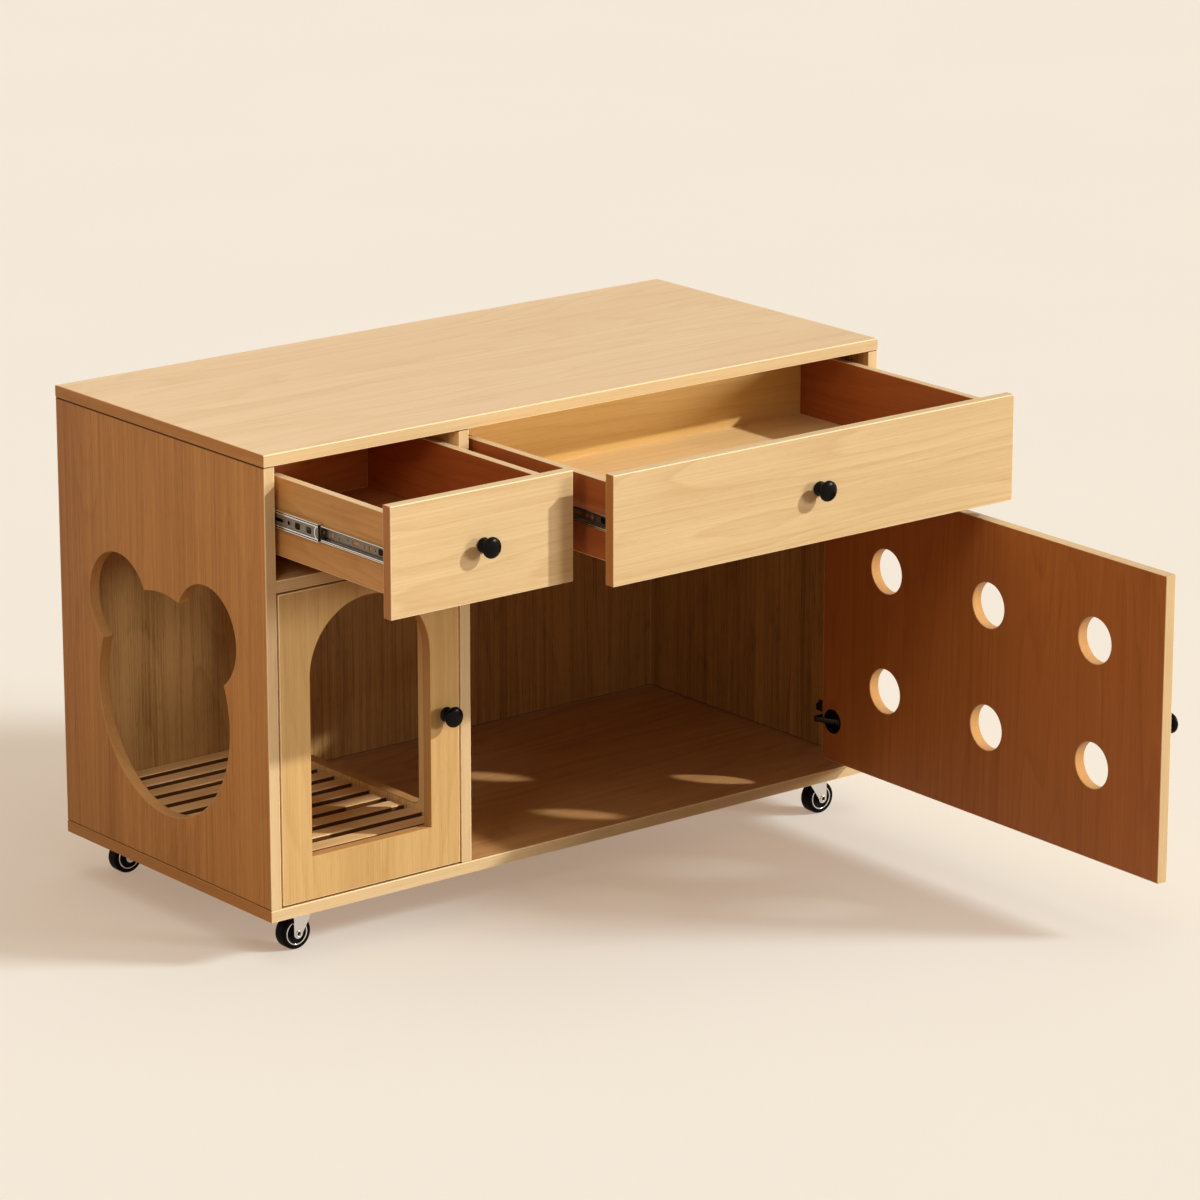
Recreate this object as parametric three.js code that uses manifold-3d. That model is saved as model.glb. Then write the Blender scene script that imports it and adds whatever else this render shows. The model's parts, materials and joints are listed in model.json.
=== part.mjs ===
// Litter box cabinet on casters: a board carcass with two drawers, a door with an arched
// entrance, a ventilated door, a slatted platform and a bear-head opening in its left side.
// Units are millimetres, +Z is up, +X is the right side and -Y is the front.
// Cabinet coordinates: x from the left outer face, y from the front face towards the back,
// z from the underside of the base panel. The whole group is then moved so that the origin
// lies on the floor, under the middle of the object's bounding box.
import * as THREE from 'three';
import { mergeVertices } from 'three/addons/utils/BufferGeometryUtils.js';
import Module from 'manifold-3d';

// ---- Carcass ----------------------------------------------------------------------------
const BODY_W = 1140; // outer width
const BODY_D = 530; // outer depth
const BODY_H = 690; // underside of the base panel to the top face
const BOARD = 18; // thickness of the carcass boards, doors and drawer fronts
const BACK_T = 9; // thickness of the back panel
const LEFT_BAY_W = 323; // clear width of the left bay
const DRAWER_BAY_H = 167; // clear height of the two drawer bays

// ---- Bear-head opening of the left side: one head circle and two ear circles -------------
const HEAD_R = 168;
const EAR_R = 76;
const EAR_OUT = 112; // ear centre from the head's centre line
const EAR_UP = 128; // ear centre over the head centre
const EAR_TOP_MARGIN = 19; // from the ears' top to the underside of the left shelf

// ---- Opening of the divider ---------------------------------------------------------------
const PASS_FRONT = 105; // width of the post in front of the opening
const PASS_BACK = 98; // width of the post behind it
const PASS_STEP = 8; // sill of the opening over the slats
const PASS_TOP = 57; // from the opening's top to the underside of the shelves
const PASS_R = 80; // radius of its upper corners
const PASS_LOW_R = 12; // radius of its lower corners

// ---- Slatted platform of the left bay -----------------------------------------------------
const SLAT_COUNT = 11;
const SLAT_W = 27;
const SLAT_T = 14;
const SLAT_TOP = 56; // top of the slats over the base panel
const BEARER_W = 24;
const BEARER_INSET = 14; // bearer from the slats' ends
const PLATFORM_GAP = 1; // platform to the panels around it

// ---- Doors --------------------------------------------------------------------------------
const DOOR_GAP = 3; // running gap round both doors
const ARCH_W = 212; // width of the arched entrance
const ARCH_SILL = 64.5; // door's lower edge to the sill
const ARCH_TOP = 26.5; // arch's crown to the door's upper edge
const VENT_R = 35;
const VENT_PITCH_X = 232;
const VENT_PITCH_Z = 190;
const VENT_RISE = 6.5; // middle of the vents over the middle of the door
const RIGHT_DOOR_OPEN = 89; // degrees that the right door stands open
const SEAT_FIT = 0.3; // knobs and cup rims to the faces that they sit on

// ---- Concealed hinges ---------------------------------------------------------------------
const CUP_R = 17.5;
const CUP_DEPTH = 11.5;
const CUP_WALL = 2;
const CUP_RIM_R = 19.5;
const CUP_RIM_T = 0.8;
const CUP_FIT = 0.3; // cup to the walls of its bore
const CUP_INSET = 25; // cup centre from the door's hinge edge
const HINGE_END = 65; // cup centre from the door's lower and upper edges
const PIN_INSET = 35; // hinge axis from the door's hinge edge
const PIN_DEPTH = 13; // hinge axis behind the door's front face
const PIN_R = 2.2;
const PIN_END_FIT = 0.4; // pin's ends to the cup's wall
const ARM_LEAN = 25; // degrees that the arm leans away from square to the closed door
const ARM_HALF_T = 1.4; // half the arm's thickness
const ARM_HALF_H = 4; // half the arm's height
const ARM_CLEAR = 1.6; // arm to the path of the door's hinge edge
const HINGE_BASE_T = 11; // base of the arm, square to the side panel
const HINGE_BASE_L = 52;
const HINGE_BASE_HALF_H = 9;

// ---- Knobs --------------------------------------------------------------------------------
const KNOB_R = 15.5;
const KNOB_L = 28;
const KNOB_BASE_R = 11.5;
const KNOB_BASE_T = 3;
const KNOB_NECK_R = 6.5;
const KNOB_INSET = 24; // knob centre from the doors' free edges

// ---- Drawers ------------------------------------------------------------------------------
const DRAWER_GAP = 3; // running gap round the drawer fronts
const BOX_T = 12; // thickness of the box's sides and back
const BOX_H = 116;
const BOX_L = 450;
const BOX_RISE = 30; // lower edge of the box over the lower edge of the front
const BOTTOM_T = 6;
const BOTTOM_RISE = 10; // drawer bottom over the lower edge of the sides
const GROOVE_D = 5;
const GROOVE_FIT = 0.3;
const LEFT_DRAWER_OPEN = 268; // distance that each drawer stands open
const RIGHT_DRAWER_OPEN = 328;

// ---- Ball-bearing slides: an outer, a middle and an inner channel, one inside the other ------
const SLIDE_T = 12.7; // from the carcass to the drawer side
const SLIDE_H = 29; // height of the outer channel
const SLIDE_WALL = 1.2;
const SLIDE_FIT = 0.4; // between nested channels
const SLIDE_LIP = 3.7; // channel edges short of the next piece
const OUTER_L = 450;
const MIDDLE_L = 400;
const OUTER_BACK = 2; // outer channel behind the closed drawer front
const MIDDLE_BACK = 16; // middle channel behind the closed drawer front
const INNER_L = 430;

// ---- Casters ------------------------------------------------------------------------------
const CASTER_H = 65; // floor to the underside of the base panel
const CASTER_X = 90; // swivel axis from the cabinet's sides
const CASTER_Y = 48; // swivel axis from the cabinet's front and back
const CASTER_TRAIL = 20; // swivel axis to wheel axle
const WHEEL_R = 25; // to the flats of the wheel
const WHEEL_SIDES = 24;
const WHEEL_W = 22;
const TREAD_BEVEL = 2.5;
const RIM_R = 18; // radius of the wheel's recessed face
const RIM_DEPTH = 3;
const HUB_R = 8;
const AXLE_R = 3;
const AXLE_FIT = 0.4;
const FORK_T = 2.5;
const FORK_FIT = 1; // wheel to fork leg
const FORK_TOP_HALF = 12; // half the width of the fork legs at their top
const FORK_EYE_R = 7.5; // round end of the fork legs
const BOLT_R = 4.5;
const BOLT_T = 2.5;
const YOKE_T = 3.5;
const RACE_R = 15; // swivel race under the top plate
const RACE_T = 4;
const PLATE_L = 60;
const PLATE_W = 46;
const PLATE_T = 2.5;

// ---- Levels and widths that follow from the sizes above -----------------------------------
const baseTop = BOARD;
const topUnder = BODY_H - BOARD;
const shelfTop = topUnder - DRAWER_BAY_H;
const shelfUnder = shelfTop - BOARD;
const backFront = BODY_D - BACK_T;
const leftBay = [BOARD, BOARD + LEFT_BAY_W];
const rightBay = [leftBay[1] + BOARD, BODY_W - BOARD];
const doorZ = [baseTop + DOOR_GAP, shelfUnder - DOOR_GAP];
const doorH = doorZ[1] - doorZ[0];
const hingeLevels = { lower: doorZ[0] + HINGE_END, upper: doorZ[1] - HINGE_END };
// Largest radius that the door's hinge edge sweeps, and how far back it reaches.
const hingeSweep = Math.hypot(PIN_INSET, Math.max(PIN_DEPTH, BOARD - PIN_DEPTH));
const hingeReach = PIN_DEPTH + hingeSweep;
const boxX = (bay) => [bay[0] + SLIDE_T, bay[1] - SLIDE_T];
const boxZ = [shelfTop + DRAWER_GAP + BOX_RISE, shelfTop + DRAWER_GAP + BOX_RISE + BOX_H];
const slideZ = (boxZ[0] + boxZ[1]) / 2;

// ---- Materials ----------------------------------------------------------------------------
const finish = (color, roughness, metalness) =>
  new THREE.MeshStandardMaterial({ color, roughness, metalness });
const oak = finish(0xe0bd82, 0.55, 0);
const oakTop = finish(0xe6ca9a, 0.5, 0);
const oakInner = finish(0xc99a60, 0.6, 0);
const zinc = finish(0xc4c4c2, 0.32, 1);
const black = finish(0x17161a, 0.3, 0);
const rubber = finish(0x1b1b1c, 0.55, 0);

// ---- Solids -------------------------------------------------------------------------------
const wasm = await Module();
wasm.setup();

// A closed three.js geometry as a solid that can be cut and joined.
function solid(geometry) {
  const bare = geometry.clone();
  for (const name of ['normal', 'uv']) bare.deleteAttribute(name);
  const merged = mergeVertices(bare, 1e-4);
  const index = merged.index.array;
  const triVerts = [];
  for (let i = 0; i < index.length; i += 3) {
    const [a, b, c] = [index[i], index[i + 1], index[i + 2]];
    if (a !== b && b !== c && c !== a) triVerts.push(a, b, c);
  }
  const vertProperties = new Float32Array(merged.attributes.position.array);
  const mesh = new wasm.Mesh({ numProp: 3, vertProperties, triVerts: new Uint32Array(triVerts) });
  return new wasm.Manifold(mesh);
}

const join = (first, ...rest) => rest.reduce((body, other) => body.add(other), first);
const cut = (first, ...rest) => rest.reduce((body, other) => body.subtract(other), first);

// A solid back as a geometry with flat faces.
function geometryOf(body) {
  const { vertProperties, triVerts } = body.getMesh();
  const indexed = new THREE.BufferGeometry();
  indexed.setAttribute('position', new THREE.BufferAttribute(vertProperties, 3));
  indexed.setIndex(new THREE.BufferAttribute(triVerts, 1));
  const flat = indexed.toNonIndexed();
  flat.computeVertexNormals();
  return flat;
}

// A box between two corners, each axis given as [low, high].
function box([x0, x1], [y0, y1], [z0, z1]) {
  const shape = new THREE.BoxGeometry(x1 - x0, y1 - y0, z1 - z0);
  return shape.translate((x0 + x1) / 2, (y0 + y1) / 2, (z0 + z1) / 2);
}

// A cylinder whose axis runs along x, y or z, centred on a point.
function rod(axis, radius, length, [x, y, z], sides) {
  const shape = new THREE.CylinderGeometry(radius, radius, length, sides);
  if (axis === 'x') shape.rotateZ(Math.PI / 2);
  if (axis === 'z') shape.rotateX(Math.PI / 2);
  return shape.translate(x, y, z);
}

// An outline drawn in (y, z) and extruded along x over [x0, x1].
function extrudeX(outline, [x0, x1]) {
  const shape = new THREE.ExtrudeGeometry(outline, {
    depth: x1 - x0, bevelEnabled: false, curveSegments: 16,
  });
  const turn = new THREE.Matrix4().makeBasis(
    new THREE.Vector3(0, 1, 0), new THREE.Vector3(0, 0, 1), new THREE.Vector3(1, 0, 0));
  return shape.applyMatrix4(turn).translate(x0, 0, 0);
}

// An outline drawn in (x, z) and extruded along y over [y0, y1].
function extrudeY(outline, [y0, y1]) {
  const shape = new THREE.ExtrudeGeometry(outline, {
    depth: y1 - y0, bevelEnabled: false, curveSegments: 16,
  });
  return shape.rotateX(Math.PI / 2).translate(0, y1, 0);
}

const polygon = (points) => new THREE.Shape(points.map(([a, b]) => new THREE.Vector2(a, b)));

// ---- Scene --------------------------------------------------------------------------------
const object = new THREE.Group();
const cabinet = new THREE.Group();
object.add(cabinet);

function place(name, shape, material, parent = cabinet) {
  const geometry = shape.isBufferGeometry ? shape : geometryOf(shape);
  const mesh = new THREE.Mesh(geometry, material);
  mesh.name = name;
  parent.add(mesh);
  return mesh;
}

function group(parent, x = 0, y = 0, z = 0, turn = 0) {
  const child = new THREE.Group();
  child.position.set(x, y, z);
  child.rotation.z = turn;
  parent.add(child);
  return child;
}

// ---- Carcass ------------------------------------------------------------------------------
place('top_panel', box([0, BODY_W], [0, BODY_D], [topUnder, BODY_H]), oakTop);
place('base_panel', box([0, BODY_W], [0, BODY_D], [0, baseTop]), oak);
place('right_side_panel', box([BODY_W - BOARD, BODY_W], [0, BODY_D], [baseTop, topUnder]), oak);
place('back_panel', box([BOARD, BODY_W - BOARD], [backFront, BODY_D], [baseTop, topUnder]), oakInner);
place('left_shelf', box(leftBay, [0, backFront], [shelfUnder, shelfTop]), oak);
place('right_shelf', box(rightBay, [0, backFront], [shelfUnder, shelfTop]), oak);

const headY = BODY_D / 2;
const headZ = shelfUnder - EAR_TOP_MARGIN - EAR_R - EAR_UP;
const throughSide = (radius, y, z, sides) =>
  solid(rod('x', radius, 3 * BOARD, [BOARD / 2, y, z], sides));
place('left_side_panel', cut(
  solid(box([0, BOARD], [0, BODY_D], [baseTop, topUnder])),
  throughSide(HEAD_R, headY, headZ, 96),
  throughSide(EAR_R, headY - EAR_OUT, headZ + EAR_UP, 64),
  throughSide(EAR_R, headY + EAR_OUT, headZ + EAR_UP, 64),
), oak);

// The divider's opening has large upper corners and small lower ones.
const passY = [PASS_FRONT, backFront - PASS_BACK];
const passZ = [baseTop + SLAT_TOP + PASS_STEP, shelfUnder - PASS_TOP];
const pass = new THREE.Shape();
pass.moveTo(passY[0] + PASS_LOW_R, passZ[0]);
pass.lineTo(passY[1] - PASS_LOW_R, passZ[0]);
pass.absarc(passY[1] - PASS_LOW_R, passZ[0] + PASS_LOW_R, PASS_LOW_R, -Math.PI / 2, 0);
pass.lineTo(passY[1], passZ[1] - PASS_R);
pass.absarc(passY[1] - PASS_R, passZ[1] - PASS_R, PASS_R, 0, Math.PI / 2);
pass.lineTo(passY[0] + PASS_R, passZ[1]);
pass.absarc(passY[0] + PASS_R, passZ[1] - PASS_R, PASS_R, Math.PI / 2, Math.PI);
pass.lineTo(passY[0], passZ[0] + PASS_LOW_R);
pass.absarc(passY[0] + PASS_LOW_R, passZ[0] + PASS_LOW_R, PASS_LOW_R, Math.PI, 1.5 * Math.PI);
place('divider_panel', cut(
  solid(box([leftBay[1], rightBay[0]], [0, backFront], [baseTop, topUnder])),
  solid(extrudeX(pass, [leftBay[1] - BOARD, rightBay[0] + BOARD])),
), oakInner);

// ---- Slatted platform ---------------------------------------------------------------------
// It lies behind the path of the left door's hinge edge, and its slats share its depth evenly.
const platformX = [leftBay[0] + PLATFORM_GAP, leftBay[1] - PLATFORM_GAP];
const platformY = [hingeReach + 2 * PLATFORM_GAP, backFront - PLATFORM_GAP];
const slatZ = [baseTop + SLAT_TOP - SLAT_T, baseTop + SLAT_TOP];
const slatPitch = (platformY[1] - platformY[0] - SLAT_W) / (SLAT_COUNT - 1);
const bearer = (x) => solid(box([x, x + BEARER_W], platformY, [baseTop, slatZ[0]]));
const slat = (i) => {
  const y = platformY[0] + i * slatPitch;
  return solid(box(platformX, [y, y + SLAT_W], slatZ));
};
place('slat_platform', join(
  bearer(platformX[0] + BEARER_INSET),
  bearer(platformX[1] - BEARER_INSET - BEARER_W),
  ...Array.from({ length: SLAT_COUNT }, (_, i) => slat(i)),
), oak);

// ---- Knob, turned about the y axis, with its foot on y = 0 and its head towards -y -----------
const knobProfile = [[0, 0], [KNOB_BASE_R, 0], [KNOB_BASE_R, KNOB_BASE_T]];
knobProfile.push([KNOB_NECK_R, KNOB_BASE_T + 1.5], [KNOB_NECK_R, KNOB_L - KNOB_R - 3]);
// The head is half an ellipsoid in front of its widest circle and a shallower one behind it.
const headMid = KNOB_L - 0.62 * KNOB_R;
for (let i = 1; i <= 8; i += 1) {
  const angle = -Math.PI / 3 + (i / 8) * (Math.PI / 3 + Math.PI / 2);
  const deep = angle < 0 ? 0.55 * KNOB_R : KNOB_L - headMid;
  knobProfile.push([KNOB_R * Math.cos(angle), headMid + deep * Math.sin(angle)]);
}
knobProfile[knobProfile.length - 1][0] = 0;

function knob(name, x, y, z, parent) {
  const points = knobProfile.map(([r, out]) => new THREE.Vector2(r, out));
  const shape = new THREE.LatheGeometry(points, 24);
  place(name, shape.rotateX(Math.PI).translate(x, y - SEAT_FIT, z), black, parent);
}

// ---- Doors and their hinges ---------------------------------------------------------------
// Hinge cup, turned about the y axis, with its rim on the door's inner face.
function cup(name, x, z, parent) {
  const floor = -CUP_DEPTH;
  const points = [
    [0, floor], [CUP_R, floor], [CUP_R, 0], [CUP_RIM_R, 0], [CUP_RIM_R, CUP_RIM_T],
    [CUP_R - CUP_WALL, CUP_RIM_T], [CUP_R - CUP_WALL, floor + CUP_WALL], [0, floor + CUP_WALL],
  ].map(([r, out]) => new THREE.Vector2(r, out));
  const seat = BOARD - PIN_DEPTH + SEAT_FIT;
  place(name, new THREE.LatheGeometry(points, 24).translate(x, seat, z), black, parent);
}

// A flat strip of the hinge arm between two points of the plan, as high as the arm.
function strip([ax, ay], [bx, by], z) {
  const length = Math.hypot(bx - ax, by - ay) + 2 * ARM_HALF_T;
  const shape = new THREE.BoxGeometry(length, 2 * ARM_HALF_T, 2 * ARM_HALF_H);
  shape.rotateZ(Math.atan2(by - ay, bx - ax));
  return solid(shape.translate((ax + bx) / 2, (ay + by) / 2, z));
}

// Arm from the side panel round the path of the door's hinge edge to the pin in the cup.
// side is +1 for a door hinged at the right and -1 for one hinged at the left.
function hingeArm(name, side, pinX, panelX, z) {
  const lean = THREE.MathUtils.degToRad(ARM_LEAN);
  const back = hingeSweep + ARM_CLEAR + ARM_HALF_T;
  const elbow = [pinX - side * back * Math.tan(lean), PIN_DEPTH + back];
  const heel = [panelX - side * HINGE_BASE_T, PIN_DEPTH + back];
  const base = [panelX - side * HINGE_BASE_T, panelX].sort((a, b) => a - b);
  const chord = Math.sqrt((CUP_R - CUP_WALL) ** 2 - (PIN_INSET - CUP_INSET + PIN_R) ** 2);
  place(name, join(
    solid(rod('z', PIN_R, 2 * (chord - PIN_END_FIT), [pinX, PIN_DEPTH, z], 16)),
    strip([pinX, PIN_DEPTH], elbow, z),
    strip(elbow, heel, z),
    solid(box(base, [heel[1] - ARM_HALF_T, heel[1] - ARM_HALF_T + HINGE_BASE_L],
      [z - HINGE_BASE_HALF_H, z + HINGE_BASE_HALF_H])),
  ), zinc);
}

// A door turns about its hinge axis: its own coordinates run from that axis.
function door({ name, bay, side, open, cuts }) {
  const edges = [bay[0] + DOOR_GAP, bay[1] - DOOR_GAP];
  const hingeEdge = side > 0 ? edges[1] : edges[0];
  const freeEdge = side > 0 ? edges[0] : edges[1];
  const pinX = hingeEdge - side * PIN_INSET;
  const leaf = group(cabinet, pinX, PIN_DEPTH, 0, side * THREE.MathUtils.degToRad(open));
  const depth = [-PIN_DEPTH, BOARD - PIN_DEPTH];
  const cupX = hingeEdge - side * CUP_INSET - pinX;
  const bores = Object.values(hingeLevels).map((z) =>
    solid(rod('y', CUP_R + CUP_FIT, 2 * (CUP_DEPTH + CUP_FIT), [cupX, depth[1], z], 32)));
  const blank = solid(box([edges[0] - pinX, edges[1] - pinX], depth, doorZ));
  place(`${name}_door`, cut(blank, ...cuts(edges, pinX), ...bores), oak, leaf);
  knob(`${name}_door_knob`, freeEdge + side * KNOB_INSET - pinX, depth[0],
    (doorZ[0] + doorZ[1]) / 2, leaf);
  for (const [level, z] of Object.entries(hingeLevels)) {
    cup(`${name}_hinge_cup_${level}`, cupX, z, leaf);
    hingeArm(`${name}_hinge_arm_${level}`, side, pinX, side > 0 ? bay[1] : bay[0], z);
  }
}

// Arched entrance: a sill, straight sides and a half-round top.
function archCut(edges, pinX) {
  const middle = (edges[0] + edges[1]) / 2 - pinX;
  const radius = ARCH_W / 2;
  const spring = doorZ[1] - ARCH_TOP - radius;
  return [
    solid(box([middle - radius, middle + radius], [-2 * BOARD, 2 * BOARD],
      [doorZ[0] + ARCH_SILL, spring])),
    solid(rod('y', radius, 4 * BOARD, [middle, 0, spring], 72)),
  ];
}

// Six round vent holes, three across and two high, about the middle of the door.
function ventCuts(edges, pinX) {
  const middle = (edges[0] + edges[1]) / 2 - pinX;
  const level = doorZ[0] + doorH / 2 + VENT_RISE;
  return [-1, 0, 1].flatMap((i) => [-0.5, 0.5].map((k) => solid(rod('y', VENT_R, 4 * BOARD,
    [middle + i * VENT_PITCH_X, 0, level + k * VENT_PITCH_Z], 36))));
}
door({ name: 'left', bay: leftBay, side: -1, open: 0, cuts: archCut });
door({ name: 'right', bay: rightBay, side: 1, open: RIGHT_DOOR_OPEN, cuts: ventCuts });

// ---- Drawers ------------------------------------------------------------------------------
// A drawer in its own coordinates, where the front's outer face lies on y = 0 when closed.
function drawer(name, bay, open) {
  const tray = group(cabinet, 0, -open, 0);
  const frontX = [bay[0] + DRAWER_GAP, bay[1] - DRAWER_GAP];
  const frontZ = [shelfTop + DRAWER_GAP, topUnder - DRAWER_GAP];
  const outer = boxX(bay);
  const inner = [outer[0] + BOX_T, outer[1] - BOX_T];
  const boxY = [BOARD, BOARD + BOX_L];
  const bottomZ = [boxZ[0] + BOTTOM_RISE, boxZ[0] + BOTTOM_RISE + BOTTOM_T];
  const tongue = GROOVE_D - GROOVE_FIT;
  const groove = solid(box([inner[0] - GROOVE_D, inner[1] + GROOVE_D],
    [boxY[0] - BOARD, boxY[1] + BOARD], [bottomZ[0], bottomZ[1] + GROOVE_FIT]));
  place(`${name}_drawer_front`, box(frontX, [0, BOARD], frontZ), oak, tray);
  place(`${name}_drawer_side_left`,
    cut(solid(box([outer[0], inner[0]], boxY, boxZ)), groove), oakInner, tray);
  place(`${name}_drawer_side_right`,
    cut(solid(box([inner[1], outer[1]], boxY, boxZ)), groove), oakInner, tray);
  place(`${name}_drawer_back`,
    box(inner, [boxY[1] - BOX_T, boxY[1]], [bottomZ[1], boxZ[1]]), oakInner, tray);
  place(`${name}_drawer_bottom`,
    box([inner[0] - tongue, inner[1] + tongue], boxY, bottomZ), oakInner, tray);
  knob(`${name}_drawer_knob`, (bay[0] + bay[1]) / 2, 0, (frontZ[0] + frontZ[1]) / 2, tray);
  slide(`${name}_drawer_slide_left`, bay[0], 1, open, tray);
  slide(`${name}_drawer_slide_right`, bay[1], -1, open, tray);
}

// A channel that is open towards +side, with its web at x0 and its edges at x1.
function channel(x0, x1, side, height, [y0, y1]) {
  const half = height / 2;
  const web = x0 + side * SLIDE_WALL;
  const lip = half - SLIDE_WALL;
  const points = [[x0, -half], [x1, -half], [x1, -lip], [web, -lip],
    [web, lip], [x1, lip], [x1, half], [x0, half]];
  if (side < 0) points.reverse();
  return extrudeY(polygon(points), [y0, y1]).translate(0, 0, slideZ);
}

// One slide between a carcass face at x and the drawer side. The middle channel has gone half
// as far as the drawer.
function slide(name, x, side, open, tray) {
  const at = (d) => x + side * d;
  const step = 2 * (SLIDE_WALL + SLIDE_FIT);
  const middleX = [SLIDE_WALL + SLIDE_FIT, SLIDE_T - SLIDE_WALL - SLIDE_FIT];
  place(`${name}_outer`, channel(at(0), at(SLIDE_T - SLIDE_LIP), side, SLIDE_H,
    [BOARD + OUTER_BACK, BOARD + OUTER_BACK + OUTER_L]), zinc);
  const middle = group(cabinet, 0, -open / 2, 0);
  place(`${name}_middle`, channel(at(middleX[0]), at(middleX[1]), side, SLIDE_H - step,
    [BOARD + MIDDLE_BACK, BOARD + MIDDLE_BACK + MIDDLE_L]), zinc, middle);
  place(`${name}_inner`, channel(at(SLIDE_T), at(SLIDE_LIP), -side, SLIDE_H - 2 * step,
    [BOARD, BOARD + INNER_L]), zinc, tray);
}

drawer('left', leftBay, LEFT_DRAWER_OPEN);
drawer('right', rightBay, RIGHT_DRAWER_OPEN);

// ---- Casters ------------------------------------------------------------------------------
const axleZ = WHEEL_R - CASTER_H;
const legIn = WHEEL_W / 2 + FORK_FIT;
const legOut = legIn + FORK_T;
const yokeZ = [-PLATE_T - RACE_T - YOKE_T, -PLATE_T - RACE_T];

// Leg of the fork, drawn in (x, z): wide under the yoke and round about the axle.
function legOutline() {
  const outline = new THREE.Shape();
  outline.moveTo(-FORK_TOP_HALF, yokeZ[1]);
  outline.lineTo(CASTER_TRAIL - FORK_EYE_R, axleZ);
  outline.absarc(CASTER_TRAIL, axleZ, FORK_EYE_R, Math.PI, 2 * Math.PI);
  outline.lineTo(FORK_TOP_HALF, yokeZ[1]);
  return outline;
}

// The wheel's section, from the bore outwards and back, with its axis on y.
function wheelShape() {
  const half = WHEEL_W / 2;
  const flatToCorner = 1 / Math.cos(Math.PI / WHEEL_SIDES);
  const [bore, hub, rim] = [AXLE_R + AXLE_FIT, HUB_R, RIM_R];
  const face = half - RIM_DEPTH;
  const bevel = WHEEL_R - TREAD_BEVEL;
  const points = [
    [bore, -half], [hub, -half], [hub, -face], [rim, -face], [rim, -half],
    [bevel, -half], [WHEEL_R, -half + TREAD_BEVEL], [WHEEL_R, half - TREAD_BEVEL], [bevel, half],
    [rim, half], [rim, face], [hub, face], [hub, half], [bore, half], [bore, -half],
  ].map(([r, y]) => new THREE.Vector2(r * flatToCorner, y));
  return new THREE.LatheGeometry(points, WHEEL_SIDES).rotateY(Math.PI / WHEEL_SIDES);
}

function caster(name, x, y, turn) {
  const swivel = group(cabinet, x, y, 0, turn);
  const plate = join(
    solid(box([-PLATE_L / 2, PLATE_L / 2], [-PLATE_W / 2, PLATE_W / 2], [-PLATE_T, 0])),
    solid(rod('z', RACE_R, RACE_T, [0, 0, -PLATE_T - RACE_T / 2], 32)),
  );
  place(`${name}_caster_plate`, plate, zinc, group(cabinet, x, y));
  const leg = (y0, y1) => solid(extrudeY(legOutline(), [y0, y1]));
  const bolt = (at) => solid(rod('y', BOLT_R, BOLT_T, [CASTER_TRAIL, at, axleZ], 6));
  place(`${name}_caster_fork`, join(
    solid(box([-FORK_TOP_HALF, FORK_TOP_HALF], [-legOut, legOut], yokeZ)),
    leg(legIn, legOut),
    leg(-legOut, -legIn),
    solid(rod('y', AXLE_R, 2 * legOut, [CASTER_TRAIL, 0, axleZ], 16)),
    bolt(legOut + BOLT_T / 2),
    bolt(-legOut - BOLT_T / 2),
  ), zinc, swivel);
  const wheel = place(`${name}_caster_wheel`, wheelShape(), rubber, swivel);
  wheel.position.set(CASTER_TRAIL, 0, axleZ);
}
caster('front_left', CASTER_X, CASTER_Y, Math.PI);
caster('front_right', BODY_W - CASTER_X, CASTER_Y, 0);
caster('back_left', CASTER_X, BODY_D - CASTER_Y, Math.PI);
caster('back_right', BODY_W - CASTER_X, BODY_D - CASTER_Y, 0);

// ---- Origin -------------------------------------------------------------------------------
object.updateMatrixWorld(true);
const bounds = new THREE.Box3().setFromObject(object, true);
cabinet.position.set(-(bounds.min.x + bounds.max.x) / 2, -(bounds.min.y + bounds.max.y) / 2, -bounds.min.z);

export default object;
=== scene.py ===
"""Litter box cabinet on casters, dressed for rendering.

Every length is in millimetres, in the cabinet's own coordinates: x from the left outer face,
y from the front face towards the back, z from the underside of the base panel. make_piece()
turns them into metres in the row frame. A shape is a surface worked out with numpy: a board
is an outline carried through its thickness, a turned part is a profile carried round an axis,
and a bent strip is a section carried along a path.
"""

import json
import math

import bmesh
import bpy
import numpy as np
from mathutils import Euler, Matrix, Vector
from mathutils.geometry import tessellate_polygon


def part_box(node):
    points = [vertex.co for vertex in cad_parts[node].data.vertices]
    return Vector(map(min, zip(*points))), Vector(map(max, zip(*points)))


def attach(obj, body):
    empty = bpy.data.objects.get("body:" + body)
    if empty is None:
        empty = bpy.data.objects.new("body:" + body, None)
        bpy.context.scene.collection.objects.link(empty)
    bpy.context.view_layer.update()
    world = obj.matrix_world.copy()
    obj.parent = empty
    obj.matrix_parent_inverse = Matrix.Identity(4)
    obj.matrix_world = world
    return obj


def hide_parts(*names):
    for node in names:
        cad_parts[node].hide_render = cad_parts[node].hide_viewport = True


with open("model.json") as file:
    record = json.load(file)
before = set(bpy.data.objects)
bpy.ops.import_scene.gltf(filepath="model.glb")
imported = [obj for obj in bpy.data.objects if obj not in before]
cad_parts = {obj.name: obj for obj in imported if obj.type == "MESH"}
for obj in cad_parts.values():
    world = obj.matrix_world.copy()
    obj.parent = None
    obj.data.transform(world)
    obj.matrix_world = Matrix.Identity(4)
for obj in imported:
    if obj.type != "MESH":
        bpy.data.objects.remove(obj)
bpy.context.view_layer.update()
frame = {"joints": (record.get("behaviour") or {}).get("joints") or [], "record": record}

MM = 0.001
ORIGIN = np.array(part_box("base_panel")[0])  # the cabinet's left front lower corner, metres
BODIES = frame["record"]["behaviour"]["bodies"]
BODY_OF = {node: body for body, nodes in BODIES.items() for node in nodes}
JOINT = {joint["name"]: joint for joint in frame["joints"]}
AXIS = {"x": 0, "y": 1, "z": 2}
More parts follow.
